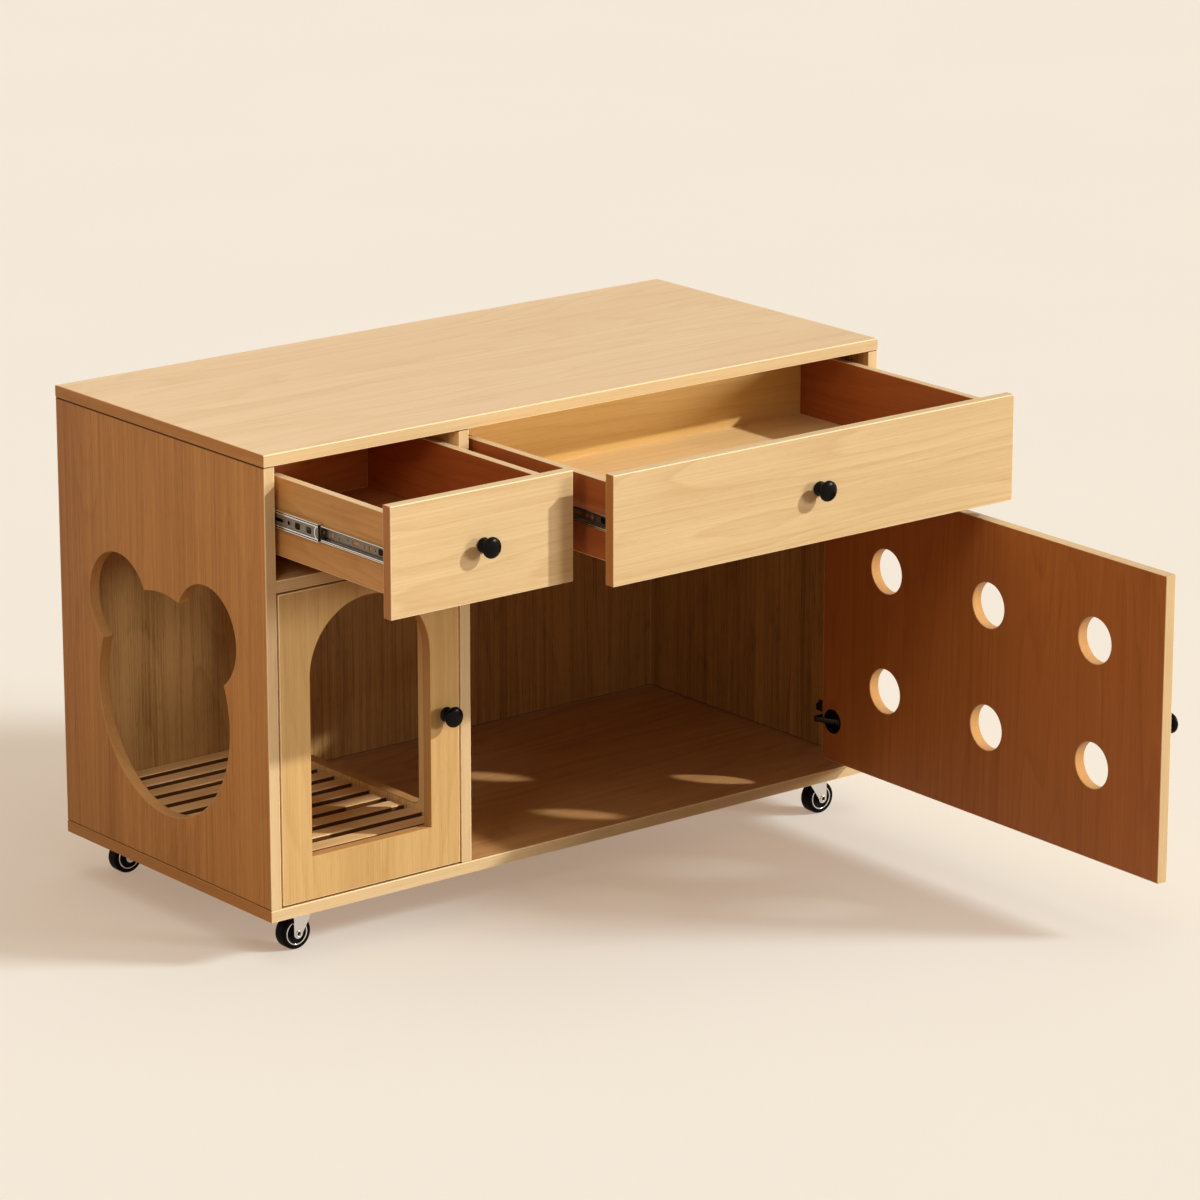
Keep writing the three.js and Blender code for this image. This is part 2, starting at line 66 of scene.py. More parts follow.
SIDES = ("left", "right")


def cad(node):
    """Lowest and highest corner of a CAD node at rest, in cabinet millimetres."""
    return [(np.array(corner) - ORIGIN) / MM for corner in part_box(node)]


# ---- Sizes that the boxes of the CAD nodes don't give --------------------------------------
HEAD_R = 168
EAR_R = 76
EAR_OUT = 112
EAR_UP = 128
EAR_TOP_MARGIN = 19
PASS_FRONT = 105
PASS_BACK = 98
PASS_STEP = 8
PASS_TOP = 57
PASS_R = 80
PASS_LOW_R = 12
SLAT_COUNT = 11
SLAT_W = 27
SLAT_T = 14
BEARER_W = 24
BEARER_INSET = 14
DOOR_GAP = 3
ARCH_W = 212
ARCH_SILL = 64.5
ARCH_TOP = 26.5
VENT_R = 35
VENT_PITCH_X = 232
VENT_PITCH_Z = 190
VENT_RISE = 6.5
CUP_R = 17.5
CUP_BORE_R = 17.8
CUP_DEPTH = 11.5
CUP_RIM_R = 19.5
CUP_INSET = 25
HINGE_END = 65
KNOB_R = 15.5
KNOB_L = 28
KNOB_INSET = 24
CASTER_TRAIL = 20
WHEEL_R = 25
WHEEL_W = 22
JOINT_GAP = 0.8  # hairline between an upright board and the top or base
ARRIS = 1.2  # rounding of the boards' edges

# ---- Places taken from the frame -----------------------------------------------------------
BASE_TOP = cad("base_panel")[1][2]
SHELF_UNDER = cad("left_shelf")[0][2]
BOARD = BASE_TOP
BODY_D = cad("top_panel")[1][1]
DOOR_LOW, DOOR_HIGH = cad("left_door")[0][2], cad("left_door")[1][2]
LEFT_BAY = (cad("left_side_panel")[1][0], cad("divider_panel")[0][0])
RIGHT_BAY = (cad("divider_panel")[1][0], cad("right_side_panel")[0][0])
BACK_FRONT = cad("back_panel")[0][1]
RIGHT_DOOR_TURN = math.radians(-JOINT["right_door_hinge"]["range_deg"][0])


def pin(side):
    """Plan position of a door's hinge pin."""
    place = (np.array(JOINT[f"{side}_door_hinge"]["pos_m"]) - ORIGIN) / MM
    return place[:2]


# ---- Shapes --------------------------------------------------------------------------------
class Shape:
    """Points in cabinet millimetres, faces as lists of point numbers, and a part number each."""

    def __init__(self, points, faces, parts):
        self.points = np.asarray(points, float)
        self.faces = faces
        self.parts = parts

    def moved(self, offset):
        return Shape(self.points + np.asarray(offset, float), self.faces, self.parts)

    def turned(self, angle, centre):
        """Turned about a vertical axis through a point of the plan."""
        cos, sin = math.cos(angle), math.sin(angle)
        out = self.points.copy()
        rel = self.points[:, :2] - centre
        out[:, 0] = centre[0] + rel[:, 0] * cos - rel[:, 1] * sin
        out[:, 1] = centre[1] + rel[:, 0] * sin + rel[:, 1] * cos
        return Shape(out, self.faces, self.parts)

    def part(self, number):
        """The same shape with all its faces in one part."""
        return Shape(self.points, self.faces, [number] * len(self.faces))


def together(*shapes):
    """Several closed shells as one shape."""
    points, faces, parts = [], [], []
    first = 0
    for shape in shapes:
        points.append(shape.points)
        faces += [[corner + first for corner in face] for face in shape.faces]
        parts += list(shape.parts)
        first += len(shape.points)
    return Shape(np.concatenate(points), faces, parts)


def arc(centre, radius, start, end, steps):
    """Points on a circle from one angle to another, in degrees, the last one left out."""
    angle = np.radians(start + (end - start) * np.arange(steps) / steps)
    return np.array(centre) + radius * np.stack([np.cos(angle), np.sin(angle)], 1)


def circle(centre, radius, steps=72):
    return arc(centre, radius, 0, 360, steps)


def rectangle(low, high, radius=0.0, steps=6):
    """A rectangle, counterclockwise, with round corners where a radius is given."""
    if not radius:
        return np.array([(low[0], low[1]), (high[0], low[1]), (high[0], high[1]), (low[0], high[1])], float)
    xs = (high[0] - radius, high[0] - radius, low[0] + radius, low[0] + radius)
    ys = (low[1] + radius, high[1] - radius, high[1] - radius, low[1] + radius)
    starts = (-90, 0, 90, 180)
    corners = [np.concatenate([arc((x, y), radius, start, start + 90, steps),
                               arc((x, y), radius, start + 90, start + 180, 1)])
               for x, y, start in zip(xs, ys, starts)]
    return np.concatenate(corners)


def offset(loop, distance):
    """The loop moved to its left by a mitred offset: each corner goes along its bisector, as
    far as brings both of its edges the distance inwards."""
    edge = np.roll(loop, -1, 0) - loop
    edge /= np.linalg.norm(edge, axis=1, keepdims=True)
    left = np.stack([-edge[:, 1], edge[:, 0]], 1)
    before = np.roll(left, 1, 0)
    return loop + distance * (left + before) / (1 + (left * before).sum(1, keepdims=True))


def quads(rows, columns, wrap_rows=False, wrap_columns=True, first=0):
    """Quads between the points of a grid, numbered row by row."""
    i = np.arange(rows if wrap_rows else rows - 1)[:, None]
    j = np.arange(columns if wrap_columns else columns - 1)[None, :]
    up, on = (i + 1) % rows, (j + 1) % columns
    corners = [i * columns + j, i * columns + on, up * columns + on, up * columns + j]
    return (np.stack(corners, -1).reshape(-1, 4) + first).tolist()


def fill(loops, numbers, upwards):
    """Triangles that cover the flat face inside the first loop and outside the others."""
    flat = np.concatenate(loops)
    found = tessellate_polygon([[Vector((a, b, 0)) for a, b in loop] for loop in loops])
    tris = np.array(found)
    a, b, c = (flat[tris[:, k]] for k in range(3))
    area = np.cross(b - a, c - a)
    tris = tris[np.abs(area) > 1e-9]
    area = area[np.abs(area) > 1e-9]
    wrong = (area > 0) != upwards
    tris[wrong] = tris[wrong][:, ::-1]
    return np.concatenate(numbers)[tris].tolist()


# Parts of a slab: both faces, the edge, the walls of cuts, and the edge's rounding.
LOW, HIGH, EDGE, HOLE, ROUND = range(5)


def slab(outline, thick, arris=ARRIS, holes=(), bores=(), bore_depth=0.0):
    """A flat board in (a, b, depth). Each outline is carried along a path through the
    thickness, which starts and ends with a quarter round of the arris radius, and both faces
    are filled between the outlines' inset rings. Bores are blind, from the high face."""
    bend = np.radians([0, 30, 60, 90])
    roll = [(arris * (1 - math.sin(t)), arris * (1 - math.cos(t))) for t in bend]
    through = roll + [(inset, thick - depth) for inset, depth in roll[::-1]]
    blind = [(0.0, thick - bore_depth), (0.0, thick)]
    walls = [(outline, through, EDGE)]
    walls += [(hole[::-1], through, HOLE) for hole in holes]
    walls += [(bore[::-1], blind, HOLE) for bore in bores]
    points, faces, parts = [], [], []
    lower, upper = [], []
    first = 0
    for loop, path, part in walls:
        rings = [offset(loop, inset) for inset, _ in path]
        points += [np.column_stack([ring, np.full(len(ring), depth)])
                   for ring, (_, depth) in zip(rings, path)]
        faces += quads(len(path), len(loop), first=first)
        bends = 0 if path is blind else len(loop) * (len(roll) - 1)
        rounded = [HOLE if part == HOLE else ROUND] * bends
        parts += rounded + [part] * len(loop) + rounded
        bottom = (rings[0], first + np.arange(len(loop)))
        top = (rings[-1], first + (len(path) - 1) * len(loop) + np.arange(len(loop)))
        upper.append(top)
        if path is blind:
            floor = fill([bottom[0]], [bottom[1]], True)
            faces += floor
            parts += [HOLE] * len(floor)
        else:
            lower.append(bottom)
        first += len(path) * len(loop)
    for rings, part in ((lower, LOW), (upper, HIGH)):
        cover = fill([ring for ring, _ in rings], [numbers for _, numbers in rings], part == HIGH)
        faces += cover
        parts += [part] * len(cover)
    return Shape(np.concatenate(points), faces, parts)


def lay(shape, thin, at=0.0):
    """Stands a slab's (a, b, depth) on the cabinet's axes, its depth along the thin axis."""
    order = {"x": [2, 0, 1], "y": [0, 2, 1], "z": [0, 1, 2]}[thin]
    faces = [face[::-1] for face in shape.faces] if thin == "y" else shape.faces
    move = np.zeros(3)
    move[AXIS[thin]] = at
    return Shape(shape.points[:, order] + move, faces, shape.parts)


def plan_axes(thin):
    """The two axes of a slab's outline, in order."""
    return {"x": (1, 2), "y": (0, 2), "z": (0, 1)}[thin]


def block(low, high, thin, arris=ARRIS, radius=0.0, **cuts):
    """A rectangular board between two corners."""
    a, b = plan_axes(thin)
    w = AXIS[thin]
    outline = rectangle((low[a], low[b]), (high[a], high[b]), radius)
    return lay(slab(outline, high[w] - low[w], arris, **cuts), thin, low[w])


def lathe(profile, axis, centre, sides=48, ring=False):
    """A profile of (radius, distance along the axis) pairs carried round an axis. It runs up
    along the outside. It starts and ends on the axis, or closes on itself as a ring."""
    radius, along = np.array(profile, float).T
    angle = 2 * np.pi * np.arange(sides) / sides
    local = np.stack([np.outer(radius, np.cos(angle)), np.outer(radius, np.sin(angle)),
                      np.repeat(along[:, None], sides, 1)], -1).reshape(-1, 3)
    order = {"z": [0, 1, 2], "x": [2, 0, 1], "y": [1, 2, 0]}[axis]
    faces = quads(len(radius), sides, wrap_rows=ring)
    return Shape(local[:, order] + np.array(centre, float), faces, [0] * len(faces))


def ribbon(path, half_thick, half_high, z, ease=0.6):
    """A flat strip with eased edges carried along a path in plan."""
    path = np.array(path, float)
    ahead = np.gradient(path, axis=0)
    ahead /= np.linalg.norm(ahead, axis=1, keepdims=True)
    across = np.stack([-ahead[:, 1], ahead[:, 0]], 1)
    section = rectangle((-half_thick, -half_high), (half_thick, half_high), ease, 3)
    plan = path[:, None, :] + across[:, None, :] * section[None, :, :1]
    level = np.broadcast_to(z + section[None, :, 1:], plan.shape[:2] + (1,))
    points = np.concatenate([plan, level], -1).reshape(-1, 3)
    count, round_ = len(path), len(section)
    faces = quads(count, round_)
    ends = [list(range(round_))[::-1], list(range((count - 1) * round_, count * round_))]
    return Shape(points, faces + ends, [0] * (len(faces) + 2))


def rounded_path(corners, radius, steps=8):
    """A path through corner points, each inner corner replaced by a smooth bend: a quadratic
    curve from a point before the corner to one after it."""
    corners = [np.array(c, float) for c in corners]
    out = [corners[0]]
    for before, here, after in zip(corners, corners[1:], corners[2:]):
        start = here + (before - here) / np.linalg.norm(before - here) * radius
        end = here + (after - here) / np.linalg.norm(after - here) * radius
        t = np.linspace(0, 1, steps)[:, None]
        out += list((1 - t) ** 2 * start + 2 * t * (1 - t) * here + t ** 2 * end)
    out.append(corners[-1])
    return np.array(out)


# ---- Materials -----------------------------------------------------------------------------
def linear(hex_colour):
    """An sRGB hex colour as linear red, green, blue and alpha."""
    srgb = np.array([int(hex_colour[k:k + 2], 16) for k in (1, 3, 5)]) / 255
    value = np.where(srgb <= 0.04045, srgb / 12.92, ((srgb + 0.055) / 1.055) ** 2.4)
    return (*value.tolist(), 1.0)


def add(tree, kind, settings=None, **inputs):
    """Adds a node, sets its properties, and links or fills its inputs. An input is named with
    underscores for spaces, or in0, in1 and so on by its place."""
    node = tree.nodes.new(kind)
    for name, value in (settings or {}).items():
        setattr(node, name, value)
    for name, value in inputs.items():
        key = int(name[2:]) if name[:2] == "in" and name[2:].isdigit() else name.replace("_", " ")
        socket = node.inputs[key]
        if isinstance(value, bpy.types.NodeSocket):
            tree.links.new(value, socket)
        else:
            socket.default_value = value
    return node


def new_material(name):
    material = bpy.data.materials.new(name)
    material.use_nodes = True
    material.node_tree.nodes.clear()
    return material, material.node_tree


def ramp(tree, factor, stops):
    """A colour ramp through (position, value) stops of grey."""
    node = add(tree, "ShaderNodeValToRGB", Fac=factor)
    marks = node.color_ramp.elements
    while len(marks) < len(stops):
        marks.new(0.5)
    for mark, (position, value) in zip(marks, stops):
        mark.position = position
        mark.color = (value, value, value, 1)
    return node.outputs["Color"]


def math_node(tree, operation, *values):
    inputs = {f"in{k}": value for k, value in enumerate(values)}
    return add(tree, "ShaderNodeMath", {"operation": operation}, **inputs).outputs[0]


def oak(name, light, dark, grain, figure=0.34, cut=0.0, roughness=0.42, contrast=1.0):
    """Sliced oak veneer, sanded and lacquered satin. To the eye: nested growth lines drawn out
    along the grain, fine dashes of open pores, soft streaks, and a low even sheen."""
    material, tree = new_material(name)
    place = add(tree, "ShaderNodeTexCoord").outputs["Object"]

    def stretched(along, across, detail, rough=0.5):
        """Noise whose features are this long and this wide, in millimetres."""
        scale = [1 / (across * MM)] * 3
        scale[AXIS[grain]] = 1 / (along * MM)
        spot = add(tree, "ShaderNodeMapping", Vector=place, Scale=scale, Location=(cut, 1.7 * cut, 2.3 * cut))
        return add(tree, "ShaderNodeTexNoise", Vector=spot.outputs[0], Scale=1.0, Detail=detail,
                   Roughness=rough).outputs["Fac"]

    # Growth rings: level lines of a slow swell, about ten to its full height.
    swell = stretched(950, 120, 0.6)
    wander = stretched(210, 26, 1.5)
    height = math_node(tree, "MULTIPLY_ADD", swell, 13.0, wander)
    ring = ramp(tree, math_node(tree, "FRACT", height), [(0.0, 0.0), (0.62, 0.34), (0.9, 1.0), (1.0, 0.0)])
    # Streaks of early and late wood, 2 mm wide, and pores, drawn about twice as coarse as real
    # ones so that they show.
    streak = stretched(260, 2.2, 2.5, 0.62)
    pore = ramp(tree, stretched(22, 0.9, 1.0), [(0.56, 0.0), (0.7, 1.0)])
    tone = stretched(1400, 85, 1.0)
    band = stretched(900, 9, 1.5)
    amount = 0.0
    for layer, weight in ((ring, figure), (streak, 0.62), (tone, 0.45), (band, 0.4), (pore, 0.16)):
        amount = math_node(tree, "MULTIPLY_ADD", layer, weight, amount)
    middle, spread = 0.87, 0.42 / contrast  # the sum's mean, and its reach from light to dark
    share = add(tree, "ShaderNodeMapRange", Value=amount, From_Min=middle - spread,
                From_Max=middle + spread).outputs[0]
    colour = add(tree, "ShaderNodeMix", {"data_type": "RGBA"}, in0=share, in6=linear(light),
                 in7=linear(dark)).outputs[2]
    gloss = add(tree, "ShaderNodeMapRange", Value=streak, To_Min=roughness - 0.05,
                To_Max=roughness + 0.1).outputs[0]
    relief = math_node(tree, "SUBTRACT", math_node(tree, "MULTIPLY", streak, 0.5), pore)
    bump = add(tree, "ShaderNodeBump", Strength=0.35, Distance=0.12 * MM, Height=relief)
    shader = add(tree, "ShaderNodeBsdfPrincipled", Base_Color=colour, Roughness=gloss,
                 Normal=bump.outputs[0], IOR=1.4)
    add(tree, "ShaderNodeOutputMaterial", Surface=shader.outputs[0])
    return material


def speckled(name, colour, roughness, grit, spread, metallic=0.0, relief=0.02, sheen=0.5):
    """A plain finish whose roughness and surface vary by a noise of the given grit in mm. The
    sheen is the specular level, below a half for a finish that mirrors less than plastic."""
    material, tree = new_material(name)
    place = add(tree, "ShaderNodeTexCoord").outputs["Object"]
    noise = add(tree, "ShaderNodeTexNoise", Vector=place, Scale=1 / (grit * MM), Detail=3.0).outputs["Fac"]
    gloss = add(tree, "ShaderNodeMapRange", Value=noise, To_Min=roughness - spread,
                To_Max=roughness + spread).outputs[0]
    bump = add(tree, "ShaderNodeBump", Strength=0.4, Distance=relief * MM, Height=noise)
    shader = add(tree, "ShaderNodeBsdfPrincipled", Base_Color=linear(colour), Roughness=gloss,
                 Metallic=metallic, Normal=bump.outputs[0], Specular_IOR_Level=sheen)
    add(tree, "ShaderNodeOutputMaterial", Surface=shader.outputs[0])
    return material


# Oak lies in a few tones, each a light and a dark. The top and fronts are pale, and the doors
# darker, partly as painted shade. Painted shade makes the left side and the left ends browner,
# the inside of the back and the right bay's walls dark, the door backs and the drawers'
# left-facing walls reddish, and the left drawer's back and bottom warm brown. Painted light makes
# the left bay, its slats and the right drawer's back and bottom paler. Rounded edges are paler as
# a painted highlight.
PALE = ("#d3be96", "#b79a6d")
PALE_TOP = ("#dac5a3", "#c6a87e")
# The doors' tone, darker than the fronts', partly as painted shade from the drawers above them; the outer
# faces of the right side and the back share it.
GOLD = ("#c9ab76", "#ab864f")
# Painted highlight: paler tone for the rounded edges, where they catch the light.
EDGE_HIGHLIGHT = ("#f4e0bb", "#e2c696")
CUT = ("#cda26a", "#ad7d46")
# Painted shade: browner tone for the left side's outer face and the top's and base's left end bands.
WARM = ("#cc934c", "#a1682d")
# Painted shade: browner tone for the drawer fronts' left end bands.
TAWNY = ("#b97f45", "#99632f")
# Painted shade: dark tone for the inside of the back, the right side and the divider's right face.
DEEP = ("#bb955f", "#7b542b")
# Painted light: paler tone for the left bay's walls and roof.
BAY = ("#eccb92", "#a67840")
# Painted shade: reddish brown for the doors' inner faces.
RUSSET = ("#c07a3e", "#9a5a29")
BOX = ("#d4a468", "#b48048")
# Painted light: paler tone for the right drawer's back, inside.
BOX_BACK = ("#e4c688", "#cca460")
# Painted shade: darker, warmer tone for the left drawer's back and bottom, inside.
BOX_SHADED = ("#cb8b4e", "#a86a36")
# Painted light: paler tone for the right drawer's bottom, inside.
BOX_LIT = ("#f4dca6", "#dfbd84")
# Painted light: paler tone for the slats in the left bay.
SLAT = ("#fad9a4", "#dcae6e")
# Painted shade: reddish brown for the inner faces of the drawers' right walls and the outer face of the right
# drawer's left wall.
CHESTNUT = ("#a65a2a", "#82421b")
END_GRAIN = ("#6d4825", "#4c3018")
DECK = ("#d3a872", "#aa7c4e")

oak_top = oak("oak_top_lengthwise", *PALE_TOP, "x", figure=0.22, cut=3.1)
oak_front = oak("oak_front_lengthwise", *PALE, "x", figure=0.24, cut=0.4)
# The doors' fronts, darker partly as painted shade.
oak_door = oak("oak_door_upright", *GOLD, "z", figure=0.14, cut=1.2)
# The left side's outer face, browner as painted shade.
oak_side = oak("oak_side_upright", *WARM, "z", figure=0.1, cut=5.7, contrast=1.8)
oak_outside = oak("oak_outside_upright", *GOLD, "z", figure=0.26, cut=1.6)
# The left bay's walls and roof, paler as painted light.
oak_bay = oak("oak_bay_upright", *BAY, "z", figure=0.02, cut=6.6, contrast=3.2)
oak_bay_roof = oak("oak_bay_lengthwise", *BAY, "x", figure=0.12, cut=3.6)
# The walls inside, dark as painted shade.
oak_inside = oak("oak_inside_upright", *DEEP, "z", figure=0.08, cut=2.2, contrast=2.2)
oak_floor = oak("oak_inside_lengthwise", *DECK, "x", figure=0.24, cut=4.6)
oak_band = {axis: oak(f"oak_band_{axis}", *PALE, axis, figure=0.12, cut=7.3) for axis in AXIS}
# The bands of the left ends, browner as painted shade.
oak_end_band = {"y": oak("oak_end_band_y", *WARM, "y", figure=0.12, cut=6.1),
                "z": oak("oak_end_band_z", *TAWNY, "z", figure=0.12, cut=6.8)}
# The rounded edges' painted highlight.
oak_edge_highlight = oak("oak_painted_edge_highlight", *EDGE_HIGHLIGHT, "y", figure=0.0, cut=1.9, roughness=0.36)
# The doors' inner faces, reddish brown as painted shade.
oak_leaf_back = oak("oak_door_back_upright", *RUSSET, "z", figure=0.2, cut=2.9)
# The slats, paler as painted light.
oak_slat = oak("oak_slat_lengthwise", *SLAT, "x", figure=0.1, cut=8.1)
oak_slat_side = oak("oak_slat_sawn_side", *END_GRAIN, "x", figure=0.0, cut=8.6, roughness=0.6)
oak_end_grain = oak("oak_end_grain", *END_GRAIN, "y", figure=0.0, cut=3.3, roughness=0.6)
oak_cut = oak("oak_cut_band", *CUT, "z", figure=0.06, cut=7.9)
# Lit and shaded copies of the drawers' oak: painted light and painted shade.
oak_box_lit = oak("oak_drawer_box_inside", *BOX_LIT, "x", figure=0.2, cut=4.3, roughness=0.5)
oak_box_back = oak("oak_drawer_box_back", *BOX_BACK, "x", figure=0.2, cut=4.9, roughness=0.5)
oak_box_shaded = oak("oak_drawer_box_shaded", *BOX_SHADED, "x", figure=0.2, cut=5.6, roughness=0.5)
oak_box_wall = oak("oak_drawer_box_wall", *CHESTNUT, "y", figure=0.2, cut=5.2, roughness=0.5)
oak_box = {axis: oak(f"oak_drawer_box_{axis}", *BOX, axis, figure=0.24, cut=9.4, roughness=0.5)
           for axis in AXIS}

# Bright zinc plate on stamped steel: a cool white metal with a cloudy, softly blurred shine.
bright_zinc = speckled("bright_zinc_steel", "#dddcd9", 0.24, 6.0, 0.06, metallic=1.0, relief=0.01)
# The slides' webs: the same plate, brushed dull, and darker and browner as a painted reflection of
# the shaded wood around them.
dull_shaded_zinc = speckled("dull_zinc_steel", "#7f766c", 0.4, 3.0, 0.1, metallic=1.0)
# Black nickel plate of the hinges: a dark metal with a soft shine.
black_nickel = speckled("black_nickel_steel", "#3b3937", 0.3, 4.0, 0.05, metallic=1.0, relief=0.005)
# Chromed ring: clean and mirror-like.
chrome = speckled("chromed_steel", "#dcdbd9", 0.12, 4.0, 0.03, metallic=1.0, relief=0.005)
# Gloss black enamel, sprayed on turned metal: deep black with small sharp highlights.
black_enamel = speckled("black_gloss_enamel", "#040303", 0.28, 5.0, 0.04, relief=0.01, sheen=0.12)
# Black nylon, moulded: dull black with a wide soft sheen.
black_nylon = speckled("black_moulded_nylon", "#060505", 0.42, 1.5, 0.06, sheen=0.1)
# Black rubber tyre: nearly black and satin, a little lighter where it is worn.
black_rubber = speckled("black_rubber_tyre", "#060404", 0.5, 3.0, 0.1, relief=0.05, sheen=0.06)


# ---- Pieces --------------------------------------------------------------------------------
HARDWARE = []  # every piece that isn't of oak


def make_piece(name, node, shape, materials, sharp=32):
    """A closed mesh in the row frame that stands for a CAD node and moves with its body."""
    mesh = bpy.data.meshes.new(name)
    points = shape.points * MM + ORIGIN
    mesh.from_pydata(points.tolist(), [], shape.faces)
    mesh.polygons.foreach_set("material_index", np.array(shape.parts, np.int32))
    for material in materials:
        mesh.materials.append(material)
    work = bmesh.new()
    work.from_mesh(mesh)
    bmesh.ops.remove_doubles(work, verts=work.verts, dist=1e-7)
    bmesh.ops.recalc_face_normals(work, faces=work.faces)
    work.to_mesh(mesh)
    work.free()
    mesh.shade_smooth()
    mesh.set_sharp_from_angle(angle=math.radians(sharp))
    piece = bpy.data.objects.new(name, mesh)
    bpy.context.scene.collection.objects.link(piece)
    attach(piece, BODY_OF[node])
    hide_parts(node)
    if not materials[0].name.startswith("oak"):
        HARDWARE.append(piece)
    return piece


BOARD_SHARP = 12  # degrees: a board's flat faces stay flat, its curved cuts are smooth
# Materials of a board, after LOW and HIGH: the edge bands that face its first and its second
# plan axis, cuts, rounded edges paler as a painted highlight, bare end grain, and the band of a
# left end, browner as painted shade.
BAND_FIRST, BAND_SECOND, CUT_WALL, HIGHLIGHT_EDGE, BARE_END, LEFT_BAND = range(2, 8)


def make_board(name, node, shape, thin, low, high, ends=False, joints=False):
    """A board with its own finish on both faces. Its edge bands have their grain along the
    edge: each face of the edge takes the axis that is neither its normal's nor the thin one.
    The rounded edges are paler as a painted highlight. With ends, the band on the left end is
    browner as painted shade. With joints, the upper and lower edges are bare end grain."""
    points = shape.points
    parts = np.array(shape.parts)
    rim = np.flatnonzero((parts == EDGE) | (parts == ROUND))
    corners = np.array([shape.faces[k][:3] for k in rim])
    normal = np.abs(np.cross(points[corners[:, 1]] - points[corners[:, 0]],
                             points[corners[:, 2]] - points[corners[:, 0]]))
    normal[:, AXIS[thin]] = 0
    facing = normal.argmax(1)
    a, b = plan_axes(thin)
    names = "xyz"
    materials = [low, high, oak_band[names[b]], oak_band[names[a]], oak_cut, oak_edge_highlight, oak_end_grain]
    rounded = parts[rim] == ROUND
    cut = parts == HOLE
    # Rounded edges take the painted highlight.
    parts[rim] = np.where(rounded, HIGHLIGHT_EDGE, np.where(facing == a, BAND_FIRST, BAND_SECOND))
    parts[cut] = CUT_WALL
    # The band of the left end takes the browner painted shade.
    if ends:
        leftward = points[corners[:, 0], 0] < points[:, 0].mean()
        parts[rim[(facing == a) & leftward & ((thin == "z") | ~rounded)]] = LEFT_BAND
        materials.append(oak_end_band[names[b]])
    if joints:
        parts[rim[facing == b]] = BARE_END
    return make_piece(name, node, Shape(points, shape.faces, parts), materials, BOARD_SHARP)


def upright_board(node, thin, low, high, **cuts):
    """A board between the top and the base, with a hairline joint at both."""
    bottom, top = cad(node)
    shape = block(bottom + (0, 0, JOINT_GAP), top - (0, 0, JOINT_GAP), thin, **cuts)
    return make_board(f"{node}_board", node, shape, thin, low, high, joints=True)


def plain_board(node, thin, low, high, ends=False):
    return make_board(f"{node}_board", node, block(*cad(node), thin), thin, low, high, ends)


# ---- Carcass -------------------------------------------------------------------------------
def bear_head():
    """Outline of the side opening in (y, z): a head circle with two ear circles, walked
    counterclockwise from where the left ear meets the head."""
    middle = np.array([BODY_D / 2, SHELF_UNDER - EAR_TOP_MARGIN - EAR_R - EAR_UP])
    apart = math.hypot(EAR_OUT, EAR_UP)
    lean = math.degrees(math.atan2(EAR_UP, EAR_OUT))
    on_head = math.degrees(math.acos((HEAD_R ** 2 + apart ** 2 - EAR_R ** 2) / (2 * HEAD_R * apart)))
    on_ear = 180 - math.degrees(math.acos((EAR_R ** 2 + apart ** 2 - HEAD_R ** 2) / (2 * EAR_R * apart)))
    left, right = middle + (-EAR_OUT, EAR_UP), middle + (EAR_OUT, EAR_UP)
    return np.concatenate([
        arc(middle, HEAD_R, 180 - lean + on_head, 360 + lean - on_head, 120),
        arc(right, EAR_R, lean - on_ear, lean + on_ear, 64),
        arc(middle, HEAD_R, lean + on_head, 180 - lean - on_head, 24),
        arc(left, EAR_R, 180 - lean - on_ear, 180 - lean + on_ear, 64),
    ])


def passage():
    """Outline of the divider's opening in (y, z), with large upper and small lower corners."""
    slat_top = cad("slat_platform")[1][2]
    y0, y1 = PASS_FRONT, BACK_FRONT - PASS_BACK
    z0, z1 = slat_top + PASS_STEP, SHELF_UNDER - PASS_TOP
    corner = [((y1 - PASS_LOW_R, z0 + PASS_LOW_R), PASS_LOW_R, -90, 8),
              ((y1 - PASS_R, z1 - PASS_R), PASS_R, 0, 28),
              ((y0 + PASS_R, z1 - PASS_R), PASS_R, 90, 28),
              ((y0 + PASS_LOW_R, z0 + PASS_LOW_R), PASS_LOW_R, 180, 8)]
    return np.concatenate([
        np.concatenate([arc(c, r, s, s + 90, n), arc(c, r, s + 90, s + 91, 1)]) for c, r, s, n in corner])


def make_carcass():
    plain_board("top_panel", "z", oak_floor, oak_top, ends=True)
    plain_board("base_panel", "z", oak_floor, oak_floor, ends=True)
    upright_board("right_side_panel", "x", oak_inside, oak_outside)
    upright_board("back_panel", "y", oak_inside, oak_outside)
    plain_board("left_shelf", "z", oak_bay_roof, oak_floor)
    plain_board("right_shelf", "z", oak_floor, oak_floor)
    upright_board("left_side_panel", "x", oak_side, oak_bay, holes=[bear_head()])
    upright_board("divider_panel", "x", oak_bay, oak_inside, holes=[passage()])


def make_platform():
    """Slats across two bearers, spread evenly over the platform's depth."""
    low, high = cad("slat_platform")
    pitch = (high[1] - low[1] - SLAT_W) / (SLAT_COUNT - 1)
    slat_z = (high[2] - SLAT_T, high[2])
    for k in range(SLAT_COUNT):
        y = low[1] + k * pitch
        slat = block((low[0], y, slat_z[0]), (high[0], y + SLAT_W, slat_z[1]), "z", arris=1.6)
        sawn = [int(part == EDGE) for part in slat.parts]
        make_piece(f"slat_{k + 1:02d}", "slat_platform", Shape(slat.points, slat.faces, sawn),
                   [oak_slat, oak_slat_side], BOARD_SHARP)
    for side, x in (("left", low[0] + BEARER_INSET), ("right", high[0] - BEARER_INSET - BEARER_W)):
        bearer = block((x, low[1], low[2]), (x + BEARER_W, high[1], slat_z[0]), "z")
        make_piece(f"slat_bearer_{side}", "slat_platform", bearer.part(0), [oak_box["y"]], BOARD_SHARP)


